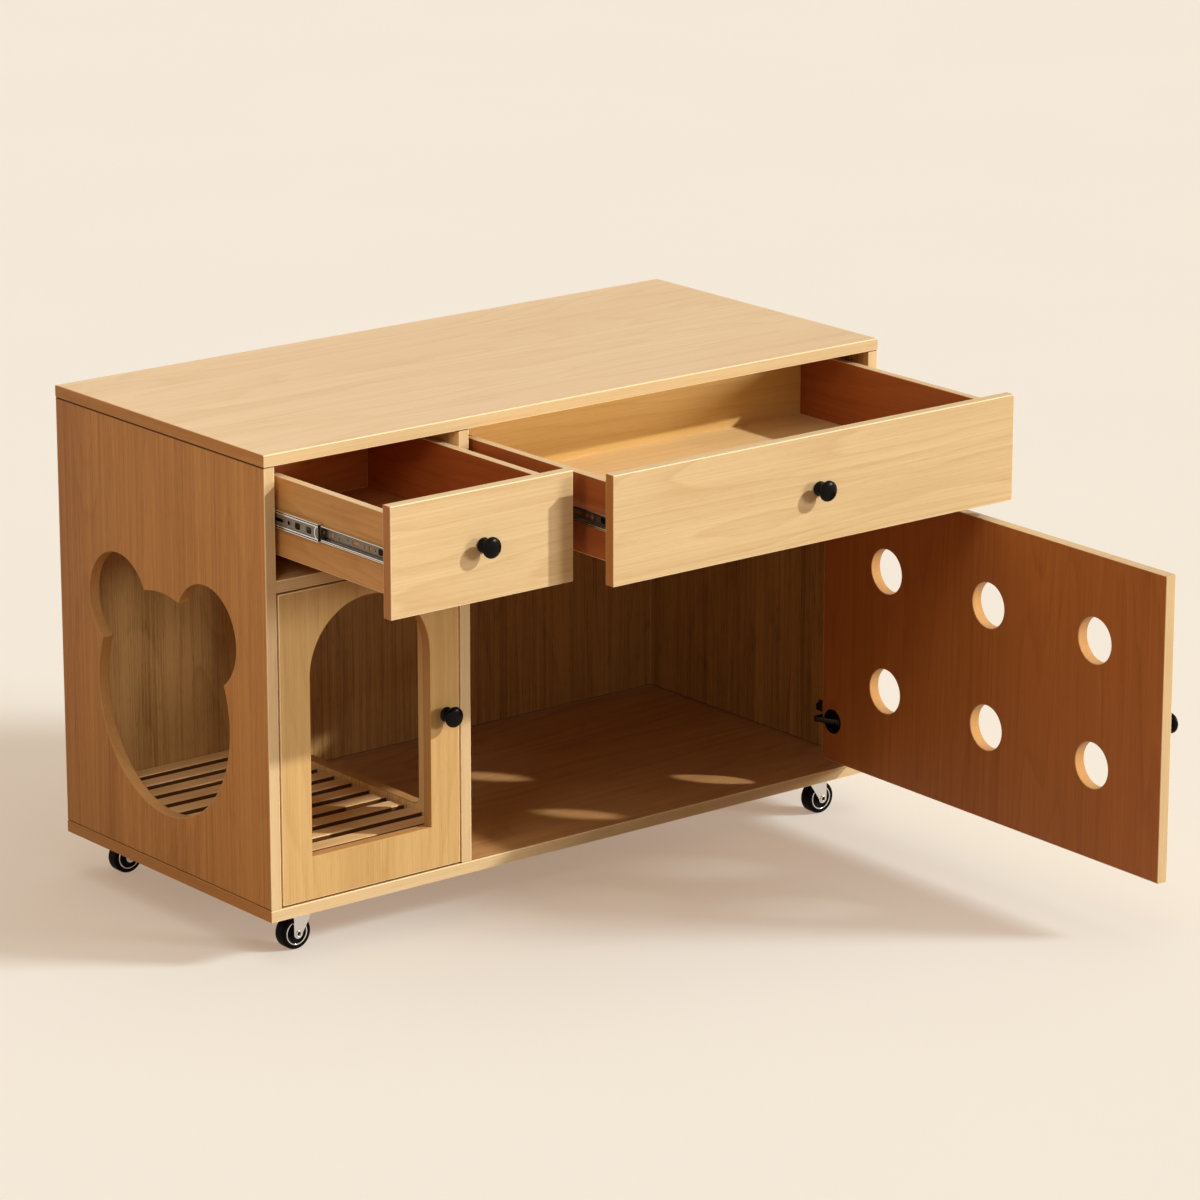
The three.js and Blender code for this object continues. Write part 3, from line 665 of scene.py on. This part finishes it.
# ---- Knobs ---------------------------------------------------------------------------------
def knob(x, y, z):
    """Turned knob with its foot on a face at y and its head towards -y: a foot disc, a waisted
    neck, and a flattened dome, whose profile is a superellipse."""
    foot = [(0, 0), (10.3, 0), (11.0, 0.7), (11.0, 2.0), (10.4, 2.9), (9.0, 3.6)]
    neck = [(7.9, 4.8), (7.2, 6.6), (6.9, 8.8), (7.1, 10.8), (7.9, 12.6), (9.2, 14.2)]
    widest = 19.6
    turn = np.radians(np.linspace(-48, 90, 30))
    power = 2 / 2.1
    radius = KNOB_R * np.cos(turn) ** power
    depth = np.where(turn < 0, 6.4, KNOB_L - 1 - widest)
    along = widest + np.sign(turn) * depth * np.abs(np.sin(turn)) ** power
    radius[-1] = 0
    shape = lathe(foot + neck + list(zip(radius, along)), "y", (0, 0, 0), 64)
    # The lathe points along +y, and the knob along -y: a half turn about the vertical.
    return shape.turned(math.pi, (0, 0)).moved((x, y, z))


# ---- Doors and hinges ----------------------------------------------------------------------
DOOR_SPAN = {"left": (LEFT_BAY[0] + DOOR_GAP, LEFT_BAY[1] - DOOR_GAP),
             "right": (RIGHT_BAY[0] + DOOR_GAP, RIGHT_BAY[1] - DOOR_GAP)}
HINGE_Z = {"lower": DOOR_LOW + HINGE_END, "upper": DOOR_HIGH - HINGE_END}


def arched_opening():
    middle = sum(DOOR_SPAN["left"]) / 2
    half = ARCH_W / 2
    spring = DOOR_HIGH - ARCH_TOP - half
    sill = DOOR_LOW + ARCH_SILL
    straight = np.array([[middle - half, sill], [middle + half, sill]])
    return np.concatenate([straight, arc((middle, spring), half, 0, 180, 90), [[middle - half, spring]]])


def vents():
    middle = sum(DOOR_SPAN["right"]) / 2
    level = (DOOR_LOW + DOOR_HIGH) / 2 + VENT_RISE
    return [circle((middle + i * VENT_PITCH_X, level + k * VENT_PITCH_Z), VENT_R, 72)
            for i in (-1, 0, 1) for k in (-0.5, 0.5)]


def hinge_cup(x, z):
    """Cup of a concealed hinge in the door's inner face: a rolled flange round a hollow."""
    rim, wall = CUP_RIM_R, CUP_R - 1.6
    profile = [(0, -CUP_DEPTH + 0.2), (CUP_R - 1, -CUP_DEPTH + 0.2), (CUP_R, -CUP_DEPTH + 1.2), (CUP_R, 0.3),
               (rim - 0.4, 0.3), (rim, 0.6), (rim - 0.2, 1.0), (rim - 0.8, 1.1), (wall + 0.8, 1.1),
               (wall + 0.2, 0.9), (wall, 0.2), (wall - 0.2, -CUP_DEPTH + 3.4), (wall - 1.2, -CUP_DEPTH + 2.4),
               (0, -CUP_DEPTH + 2.2)]
    return lathe(profile, "y", (x, BOARD, z), 64)


def pan_screw(axis, centre, radius, height, up=1):
    """Pan head of a screw with a shallow cross-point dimple in its middle."""
    turn = np.radians(np.linspace(0, 70, 6))
    profile = [(0, 0)] + list(zip(radius * np.cos(turn), height * np.sin(turn) / math.sin(turn[-1])))
    profile += [(radius * 0.2, height * 0.55), (0, height * 0.5)]
    profile = np.array(profile)
    if up < 0:
        profile = profile[::-1] * (1, -1)
    return lathe(profile, axis, centre, 20)


def hinge_arm(side, z):
    """Arm from a base on the side panel round the path of the door's edge to the pin."""
    low, high = cad(f"{side}_hinge_arm_lower")
    x_pin, y_pin = pin(side)
    sign = 1 if side == "right" else -1
    panel = high[0] if side == "right" else low[0]
    base_t, base_l, half_high, plate_t = 11.0, 52.0, 9.0, 2.2
    y_base = high[1] - base_l
    heel = (panel - sign * base_t * 0.6, y_base + 1.4)
    lean = math.tan(math.radians(25)) * (heel[1] - y_pin)
    elbow = (x_pin - sign * lean, heel[1])
    path = rounded_path([(x_pin, y_pin), elbow, heel], 7)
    arm = ribbon(path, 1.3, 4, z)
    barrel = lathe([(0, -8.6), (2.0, -8.6), (2.2, -8.2), (2.2, -5), (3.2, -5), (3.4, -4.6), (3.4, 4.6),
                    (3.2, 5), (2.2, 5), (2.2, 8.2), (2.0, 8.6), (0, 8.6)], "z", (x_pin, y_pin, z), 24)
    near, far = sorted((panel, panel - sign * plate_t))
    plate = block((near, y_base + 4, z - half_high), (far, y_base + base_l, z + half_high), "x", 0.5, 4)
    near, far = sorted((panel - sign * plate_t, panel - sign * base_t))
    body = block((near, y_base, z - 6), (far, y_base + base_l - 4, z + 6), "x", 1.4, 2.5)
    screws = [pan_screw("x", (panel - sign * (base_t - 0.4), y_base + d, z), 3.2, 1.0, -sign)
              for d in (16, 36)]
    return together(arm, barrel, plate, body, *screws)


def make_doors():
    turn = {"left": 0.0, "right": RIGHT_DOOR_TURN}
    holes = {"left": [arched_opening()], "right": vents()}
    for side in SIDES:
        sign = 1 if side == "right" else -1
        x0, x1 = DOOR_SPAN[side]
        hinge_edge, free_edge = (x1, x0) if side == "right" else (x0, x1)
        cup_x = hinge_edge - sign * CUP_INSET
        bores = [circle((cup_x, z), CUP_BORE_R, 48) for z in HINGE_Z.values()]
        leaf = lay(slab(rectangle((x0, DOOR_LOW), (x1, DOOR_HIGH)), BOARD, holes=holes[side],
                        bores=bores, bore_depth=CUP_DEPTH + 0.3), "y")

        def hung(shape):
            return shape.turned(sign * turn[side], pin(side))

        node = f"{side}_door"
        make_board(f"{node}_board", node, hung(leaf), "y", oak_door, oak_leaf_back)
        knob_shape = knob(free_edge + sign * KNOB_INSET, 0, (DOOR_LOW + DOOR_HIGH) / 2)
        make_piece(f"{node}_knob_turned", f"{node}_knob", hung(knob_shape), [black_enamel])
        for level, z in HINGE_Z.items():
            cup_node, arm_node = f"{side}_hinge_cup_{level}", f"{side}_hinge_arm_{level}"
            make_piece(f"{cup_node}_pressed", cup_node, hung(hinge_cup(cup_x, z)), [black_nylon])
            make_piece(f"{arm_node}_stamped", arm_node, hinge_arm(side, z), [black_nickel])


# ---- Drawers -------------------------------------------------------------------------------
def make_drawer(side):
    name = f"{side}_drawer"
    front = cad(f"{name}_front")
    make_board(f"{name}_front_board", f"{name}_front", block(*front, "y"), "y", oak_front, oak_box["x"],
               ends=True)
    # The right walls' inner faces and the right drawer's left outer face are reddish as painted shade. The
    # right drawer's back and bottom are paler as painted light, the left drawer's darker as painted shade.
    plain_board(f"{name}_side_left", "x", oak_box["y"] if side == "left" else oak_box_wall, oak_box["y"])
    plain_board(f"{name}_side_right", "x", oak_box_wall, oak_box["y"])
    plain_board(f"{name}_back", "y", {"left": oak_box_shaded, "right": oak_box_back}[side], oak_box["x"])
    plain_board(f"{name}_bottom", "z", oak_box["x"], {"left": oak_box_shaded, "right": oak_box_lit}[side])
    low, high = front
    knob_shape = knob((low[0] + high[0]) / 2, low[1], (low[2] + high[2]) / 2)
    make_piece(f"{name}_knob_turned", f"{name}_knob", knob_shape, [black_enamel])


# ---- Ball-bearing slides -------------------------------------------------------------------
# A member's section is given from the carcass face that the slide is fixed to, as bars
# (nearest, farthest, lowest, highest, part), with heights from the slide's middle line. The
# bars above the middle are mirrored below it. Parts: 0 web, 1 bright rail, 2 black strip, which
# stands for a ball cage and is also painted shade in the groove where it lies.
MEMBER_BARS = {
    "outer": [(0, 1.2, 8.0, 13.3, 0), (0, 9.0, 13.3, 14.5, 1)],
    "middle": [(1.6, 2.9, 8.3, 10.2, 1), (2.7, 3.4, 10.2, 11.7, 2), (1.6, 11.1, 11.7, 12.9, 1)],
    "inner": [(10.9, 12.7, 7.9, 9.2, 1), (4.9, 12.7, 10.1, 11.3, 1), (3.7, 4.9, 10.3, 11.3, 1),
              (4.3, 5.0, 9.4, 10.3, 2)],
}
INNER_LOWER_LIP = (3.7, 4.9, -9.4, -8.1, 1)
# The flat web of each member: nearest, farthest and half its height.
WEB = {"outer": (0, 1.2, 8.0), "middle": (1.8, 2.9, 7.7), "inner": (11.5, 12.7, 7.6)}
# Punched holes: distance from the member's front end, height and radius; and slots: distance,
# width and half height.
HOLES = {
    "outer": [(18, 0, 2.6), (60, 0, 2.2), (140, 4, 2.2), (230, 0, 2.6), (330, 0, 2.2), (420, 0, 2.6)],
    "middle": [(70, 0, 3.0), (120, 1, 1.8), (260, 0, 2.2), (350, 0, 2.2)],
    "inner": [(28, 0, 2.0), (52, 0, 3.0), (92, 2, 2.2), (112, -2, 2.4), (150, 0, 2.6), (260, 0, 2.2),
              (330, 0, 2.2)],
}
SLOTS = {
    "outer": [(32, 12, 3.2), (96, 9, 2.6), (180, 14, 3.4), (286, 10, 3.0), (372, 14, 3.2)],
    "middle": [(16, 12, 4.6), (43, 12, 4.6), (84, 20, 2.4), (160, 12, 4.2), (210, 22, 2.4), (310, 12, 4.2)],
    "inner": [(11, 11, 4.6), (38, 6, 3.6), (66, 16, 2.6), (126, 8, 4.0), (190, 18, 2.6), (290, 12, 3.4),
              (390, 10, 3.4)],
}


def slide_member(node, face, toward):
    """A rolled steel member: its punched web and the bars along both edges of it. The face is
    the carcass's, and toward is the sign of x from there to the drawer."""
    member = node.rsplit("_", 1)[1]
    low, high = cad(node)
    middle, length = (low[2] + high[2]) / 2, high[1] - low[1]

    def bar(near, far, bottom, top, part, y0=low[1], y1=high[1], arris=0.3):
        x0, x1 = sorted((face + toward * near, face + toward * far))
        return block((x0, y0, middle + bottom), (x1, y1, middle + top), "y", arris).part(part)

    near, far, half = WEB[member]
    cuts = [circle((low[1] + y, middle + dz), r, 20) for y, dz, r in HOLES[member] if y < length - 8]
    cuts += [rectangle((low[1] + y, middle - h), (low[1] + y + w, middle + h), min(h, w / 2) * 0.55, 4)
             for y, w, h in SLOTS[member] if y + w < length - 8]
    x0, x1 = sorted((face + toward * near, face + toward * far))
    web = slab(rectangle((low[1], middle - half), (high[1], middle + half)), x1 - x0, 0.2, cuts)
    shapes = [lay(web, "x", x0).part(0)]
    for near, far, bottom, top, part in MEMBER_BARS[member]:
        shapes += [bar(near, far, bottom, top, part), bar(near, far, -top, -bottom, part)]
    if member == "inner":
        # The lower lip stands higher, and a black release lever fills the front hole, dark also as
        # painted shade in it.
        shapes.append(bar(*INNER_LOWER_LIP))
        shapes.append(bar(12.2, 12.7, -5.2, 5.2, 2, low[1] + 10, low[1] + 24))
    return together(*shapes)


def slide_stop(node, face, toward):
    """Black end stop, a plate between the middle member's tracks, with a bright spring clip
    over it: a half ring whose section is a flat ellipse. Both clear the outer and inner."""
    low, high = cad(node)
    middle = (low[2] + high[2]) / 2
    x0, x1 = sorted((face + toward * 2.0, face + toward * 3.5))
    stop = block((x0, low[1] - 3, middle - 11.5), (x1, low[1] + 9, middle + 11.5), "x", 0.4, 1.6).part(1)
    bend = np.radians(np.linspace(-78, 78, 19))
    section = np.radians(np.arange(0, 360, 45))
    reach = 10.4 + 0.9 * np.cos(section)
    y = low[1] - 2 + np.outer(np.cos(bend), reach)
    z = middle + np.outer(np.sin(bend), reach)
    x = np.broadcast_to(face + toward * (1.85 + 0.5 * np.sin(section)), y.shape)
    rows, columns = y.shape
    last = (rows - 1) * columns
    faces = quads(rows, columns) + [list(range(columns))[::-1], list(range(last, last + columns))]
    clip = Shape(np.stack([x, y, z], -1).reshape(-1, 3), faces, [0] * len(faces))
    return together(stop, clip)


def make_slides(side):
    bay = {"left": LEFT_BAY, "right": RIGHT_BAY}[side]
    for wall, face, toward in (("left", bay[0], 1), ("right", bay[1], -1)):
        name = f"{side}_drawer_slide_{wall}"
        for member in MEMBER_BARS:
            node = f"{name}_{member}"
            # The webs' darker metal is a painted reflection of shade.
            make_piece(f"{node}_rolled", node, slide_member(node, face, toward),
                       [dull_shaded_zinc, bright_zinc, black_nylon], 35)
        make_piece(f"{name}_stop", f"{name}_middle", slide_stop(f"{name}_middle", face, toward),
                   [bright_zinc, black_nylon])


# ---- Casters -------------------------------------------------------------------------------
def fork_leg(sign, trail, axle_z, top_z):
    """One leg of the fork, a sheet over (x, z): an upright strip above a round eye, and beyond
    a crease a gusset that narrows down to the eye and leans inwards over the tyre, where it
    fades out so that it stays clear of the tyre's side."""
    eye, gusset, thick = 7.5, -8.0, 2.5
    leg_out = WHEEL_W / 2 + 1 + thick
    round_end = np.radians(np.linspace(8, 90, 12))
    down = np.concatenate([np.linspace(top_z, axle_z, 10), axle_z - eye * np.sin(round_end)])
    share = np.clip((top_z - down) / (top_z - axle_z), 0, 1)
    dip = np.clip((axle_z - down) / eye, 0, 1)
    half = np.sqrt(1 - dip ** 2) * eye
    low = np.where(dip > 0, trail - half, gusset + share * (trail - eye - gusset))
    high = np.where(dip > 0, trail + half, trail + eye)
    across = np.linspace(0, 1, 13)
    x = low[:, None] + (high - low)[:, None] * across
    z = np.repeat(down[:, None], len(across), 1)
    crease = trail - eye - 0.5
    lean = 0.22 * np.clip(crease - x, 0, None) * (1 - share[:, None]) ** 2.2
    outer = np.stack([x, sign * (leg_out - lean), z], -1)
    inner = outer - (0, sign * thick, 0)
    rows, columns = x.shape
    points = np.concatenate([outer.reshape(-1, 3), inner.reshape(-1, 3)])
    face = quads(rows, columns, wrap_columns=False)
    back = [[corner + rows * columns for corner in quad[::-1]] for quad in face]
    rim = np.concatenate([np.arange(columns), np.arange(1, rows) * columns + columns - 1,
                          (rows - 1) * columns + np.arange(columns - 2, -1, -1),
                          np.arange(rows - 2, 0, -1) * columns])
    other = np.roll(rim, -1)
    wall = np.stack([other, rim, rim + rows * columns, other + rows * columns], 1).tolist()
    faces = face + back + wall
    return Shape(points, faces, [0] * len(faces))


def rivet_head(sign, x, y, z):
    """Hollow end of the axle: a rolled flange round a deep dimple, whose bottom is black as painted shade."""
    turn = np.radians(np.linspace(0, 180, 11))
    flange = np.stack([3.9 + 1.1 * np.cos(turn), 0.9 + 1.2 * np.sin(turn)], 1)
    flange = lathe(np.concatenate([[(5.0, 0)], flange, [(2.8, 0)]]), "y", (0, 0, 0), 32, ring=True)
    dimple_shade = lathe([(0, 0), (2.85, 0), (2.85, 0.5), (0, 0.4)], "y", (0, 0, 0), 24).part(1)
    bolt = together(flange, dimple_shade)
    return (bolt if sign > 0 else bolt.turned(math.pi, (0, 0))).moved((x, y, z))


def tyre_profile():
    """Section of the tyre as a closed ring: a flat tread with round shoulders."""
    half, shoulder, bead = WHEEL_W / 2, 4.2, 18.6
    turn = np.radians(np.linspace(0, 90, 9))
    radius = WHEEL_R - shoulder * (1 - np.sin(turn))
    lower = np.stack([radius, -half + shoulder * (1 - np.cos(turn))], 1)
    upper = lower[::-1] * (1, -1)
    inside = [(bead, -half + 0.6), (bead + 0.6, -half)]
    return np.concatenate([inside, lower, upper, [(bead + 0.6, half), (bead, half - 0.6)]])


def rim_profile(sign):
    """Section of the bright ring on one face of the wheel: a half-round bead inside the tyre."""
    half = WHEEL_W / 2
    turn = np.radians(np.linspace(0, 180, 13))
    ring = np.stack([17.4 + 1.2 * np.cos(turn), half - 1.4 + 1.2 * np.sin(turn)], 1)
    ring = np.concatenate([ring, [(16.2, half - 4), (18.6, half - 4)]])
    return ring if sign > 0 else ring * (1, -1)


def hub_profile():
    """Section of the hub: a dished disc with a raised boss about the axle, and its bore."""
    half = WHEEL_W / 2
    side = [(3.4, half), (7.2, half), (8.0, half - 0.8), (8.6, half - 3.6), (10.0, half - 4.4),
            (14.6, half - 3.6), (15.6, half - 2.2), (17.0, half - 2.0), (18.7, half - 3.0)]
    upper = np.array(side)
    return np.concatenate([upper[::-1], upper * (1, -1)])[::-1]


def make_caster(name, toward):
    """toward is +1 where the wheel trails to the right of its swivel and -1 to the left."""
    low, high = cad(f"{name}_caster_plate")
    x, y = (low[0] + high[0]) / 2, (low[1] + high[1]) / 2
    wheel_low, wheel_high = cad(f"{name}_caster_wheel")
    axle_z = (wheel_low[2] + wheel_high[2]) / 2
    turn = 0 if toward > 0 else math.pi

    def placed(shape):
        return shape.turned(turn, (0, 0)).moved((x, y, 0))

    plate_t, race_t, yoke_t = 2.5, 4.0, 3.5
    length, width = high[0] - low[0], high[1] - low[1]
    corners = [(sx * (length / 2 - 9), sy * (width / 2 - 7)) for sx in (-1, 1) for sy in (-1, 1)]
    outline = rectangle((-length / 2, -width / 2), (length / 2, width / 2), 5)
    plate = lay(slab(outline, plate_t, 0.5), "z", -plate_t)
    race = lathe([(0, -plate_t - race_t), (13.6, -plate_t - race_t), (14.6, -plate_t - race_t + 0.8),
                  (15, -plate_t - 2), (14.2, -plate_t - 0.8), (12.5, -plate_t), (0, -plate_t)],
                 "z", (0, 0, 0), 48)
    screws = [pan_screw("z", (sx, sy, -plate_t), 3.6, 1.8, -1) for sx, sy in corners]
    make_piece(f"{name}_caster_plate_stamped", f"{name}_caster_plate",
               placed(together(plate.part(0), race, *screws)), [bright_zinc])
    yoke_top = -plate_t - race_t
    leg_out = WHEEL_W / 2 + 1 + 2.5
    outline = rectangle((-12, -leg_out + 0.2), (CASTER_TRAIL + 7.3, leg_out - 0.2), 3.5)
    yoke = lay(slab(outline, yoke_t, 0.8), "z", yoke_top - yoke_t)
    under = yoke_top - yoke_t
    rivet = lathe([(0, under - 1.6), (3.2, under - 1.4), (4.6, under - 0.4), (4.8, under), (0, under)],
                  "z", (0, 0, 0), 24)
    centre = (CASTER_TRAIL, 0, axle_z)
    axle = lathe([(0, -leg_out), (3, -leg_out), (3, leg_out), (0, leg_out)], "y", centre, 24)
    legs = [fork_leg(sign, CASTER_TRAIL, axle_z, yoke_top - 0.6) for sign in (1, -1)]
    bolts = [rivet_head(sign, CASTER_TRAIL, sign * leg_out, axle_z) for sign in (1, -1)]
    make_piece(f"{name}_caster_fork_stamped", f"{name}_caster_fork",
               placed(together(yoke.part(0), rivet, axle, *legs, *bolts)), [bright_zinc, black_nylon])

    def wheel_piece(kind, material, *profiles):
        node = f"{name}_caster_wheel"
        rings = [lathe(profile, "y", centre, 72, ring=True) for profile in profiles]
        make_piece(f"{node}_{kind}", node, placed(together(*rings)), [material])

    wheel_piece("tyre", black_rubber, tyre_profile())
    wheel_piece("hub", black_nylon, hub_profile())
    wheel_piece("rims", chrome, rim_profile(1), rim_profile(-1))


make_carcass()
make_platform()
make_doors()
for side in SIDES:
    make_drawer(side)
    make_slides(side)
for corner in ("front_left", "front_right", "back_left", "back_right"):
    make_caster(corner, -1 if "left" in corner else 1)


# ---- Room ----------------------------------------------------------------------------------
CREAM = "#f5e8d9"  # the backdrop
FLOOR = "#e8f8ff"  # the floor as the lamps light it for the camera
FLOOR_CLOUD = "#e4f4fc"  # its faint cloudiness
VEIL = "#ffdcbe"  # the warm glow from all round that fills its shadows
VEIL_SHARE = 0.36
BOUNCE = "#a08060"  # the floor as it lights the object
FILL = "#f0cca6"  # light from all round
FILL_STRENGTH = 0.42
LAMP = "#fffaf2"


def seen_by(tree):
    """1 for rays from the camera, straight, mirrored or through something, otherwise 0."""
    path = add(tree, "ShaderNodeLightPath").outputs
    seen = math_node(tree, "MAXIMUM", path["Is Camera Ray"], path["Is Transmission Ray"])
    return math_node(tree, "MAXIMUM", seen, path["Is Glossy Ray"])


def make_floor():
    """A wide pale floor. The camera and mirrors see it cream, with the object's shadow in it
    softened as by light from all round. Other rays see a duller floor, so that the object's
    shade stays deep."""
    material, tree = new_material("matt_cream_floor")
    seen = seen_by(tree)
    place = add(tree, "ShaderNodeTexCoord").outputs["Object"]
    noise = add(tree, "ShaderNodeTexNoise", Vector=place, Scale=1.3, Detail=2.0).outputs["Fac"]
    shade = add(tree, "ShaderNodeMix", {"data_type": "RGBA"}, in0=noise, in6=linear(FLOOR),
                in7=linear(FLOOR_CLOUD)).outputs[2]
    colour = add(tree, "ShaderNodeMix", {"data_type": "RGBA"}, in0=seen, in6=linear(BOUNCE), in7=shade)
    matt = add(tree, "ShaderNodeBsdfPrincipled", Base_Color=colour.outputs[2], Roughness=0.9,
               Specular_IOR_Level=0.1)
    haze = add(tree, "ShaderNodeEmission", Color=linear(VEIL), Strength=1.0)
    veil = math_node(tree, "MULTIPLY", seen, VEIL_SHARE)
    surface = add(tree, "ShaderNodeMixShader", in0=veil, in1=matt.outputs[0], in2=haze.outputs[0])
    add(tree, "ShaderNodeOutputMaterial", Surface=surface.outputs[0])
    far = 60.0
    corners = [(-far, -far, 0), (far, -far, 0), (far, far, 0), (-far, far, 0)]
    mesh = bpy.data.meshes.new("floor")
    mesh.from_pydata(corners, [], [(0, 1, 2, 3)])
    mesh.materials.append(material)
    floor = bpy.data.objects.new("floor", mesh)
    bpy.context.scene.collection.objects.link(floor)
    return floor


def make_world():
    """Cream where the camera or a mirror looks, and a dim warm fill for everything else."""
    world = bpy.data.worlds.new("studio")
    bpy.context.scene.world = world
    world.use_nodes = True
    tree = world.node_tree
    tree.nodes.clear()
    fill = add(tree, "ShaderNodeBackground", Color=linear(FILL), Strength=FILL_STRENGTH)
    back = add(tree, "ShaderNodeBackground", Color=linear(CREAM), Strength=1.0)
    mix = add(tree, "ShaderNodeMixShader", in0=seen_by(tree), in1=fill.outputs[0], in2=back.outputs[0])
    add(tree, "ShaderNodeOutputWorld", Surface=mix.outputs[0])


# Distant lamps: strength, angular size in degrees, the way the light travels, what it falls on,
# and whether it shows as a highlight. The first throws the spots of light through the vents and
# the second the floor's softer shadow of the object. The third gives knobs and metal their
# glint, the fourth reaches into the drawers, and the last comes from overhead.
KEY_WAY = (-1.385, 1.2, -1.0)
LAMPS = {
    "key": (3.2, 1.6, KEY_WAY, "object", False),
    "key_floor": (2.8, 12.0, KEY_WAY, "floor", False),
    "glint": (2.6, 9.0, KEY_WAY, "hardware", True),
    "key_low": (1.6, 12.0, (-0.82, 1.0, -0.2), "all", False),
    "overhead": (0.7, 60.0, (0.0, 0.1, -1.0), "all", False),
}
# A soft box by the left front, near enough to fade towards the back and the bottom.
SOFT_BOX = {"place": (-1.7, -0.7, 1.45), "aim": (-0.5, 0.2, 0.5), "side": 0.5, "watts": 7.0}


def hang(name, lamp, travel, place, reach, shine, floor):
    """Hangs a lamp: on the floor alone, on the hardware alone as a highlight, on the object
    without the floor, or on all."""
    lamp.color = linear(LAMP)[:3]
    holder = bpy.data.objects.new(name, lamp)
    holder.location = place
    holder.rotation_euler = Vector(travel).to_track_quat("-Z", "Y").to_euler()
    holder.visible_camera = False
    holder.visible_glossy = shine
    holder.visible_diffuse = reach != "hardware"
    bpy.context.scene.collection.objects.link(holder)
    if reach == "all":
        return
    lit = bpy.data.collections.new(f"{name}_reach")
    for item in HARDWARE if reach == "hardware" else [floor]:
        lit.objects.link(item)
    if reach == "object":
        lit.collection_objects[0].light_linking.link_state = "EXCLUDE"
    holder.light_linking.receiver_collection = lit


def make_lamps(floor):
    for name, (strength, size, travel, reach, shine) in LAMPS.items():
        lamp = bpy.data.lights.new(name, "SUN")
        lamp.energy = strength
        lamp.angle = math.radians(size)
        hang(name, lamp, travel, (0, 0, 0), reach, shine, floor)
    box = bpy.data.lights.new("soft_box", "AREA")
    box.energy = SOFT_BOX["watts"]
    box.size = SOFT_BOX["side"]
    place, aim = Vector(SOFT_BOX["place"]), Vector(SOFT_BOX["aim"])
    hang("soft_box", box, aim - place, place, "object", False, floor)


# The photograph's camera: millimetres of lens and sensor, metres, and radians.
LENS, SENSOR = 160.46, 36
CAMERA_PLACE = (-4.7041, -5.8380, 2.6270)
CAMERA_DIP, CAMERA_TURN = 0.2809, -0.6739


def make_camera():
    """The photograph's view: from the left front, a little above, with a long lens."""
    camera = bpy.data.cameras.new("view")
    camera.lens = LENS
    camera.sensor_width = SENSOR
    camera.clip_end = 200
    holder = bpy.data.objects.new("view", camera)
    holder.location = CAMERA_PLACE
    holder.rotation_euler = Euler((math.pi / 2 - CAMERA_DIP, 0, CAMERA_TURN))
    bpy.context.scene.collection.objects.link(holder)
    bpy.context.scene.camera = holder


make_lamps(make_floor())
make_world()
make_camera()
bpy.context.scene.view_settings.view_transform = "Standard"
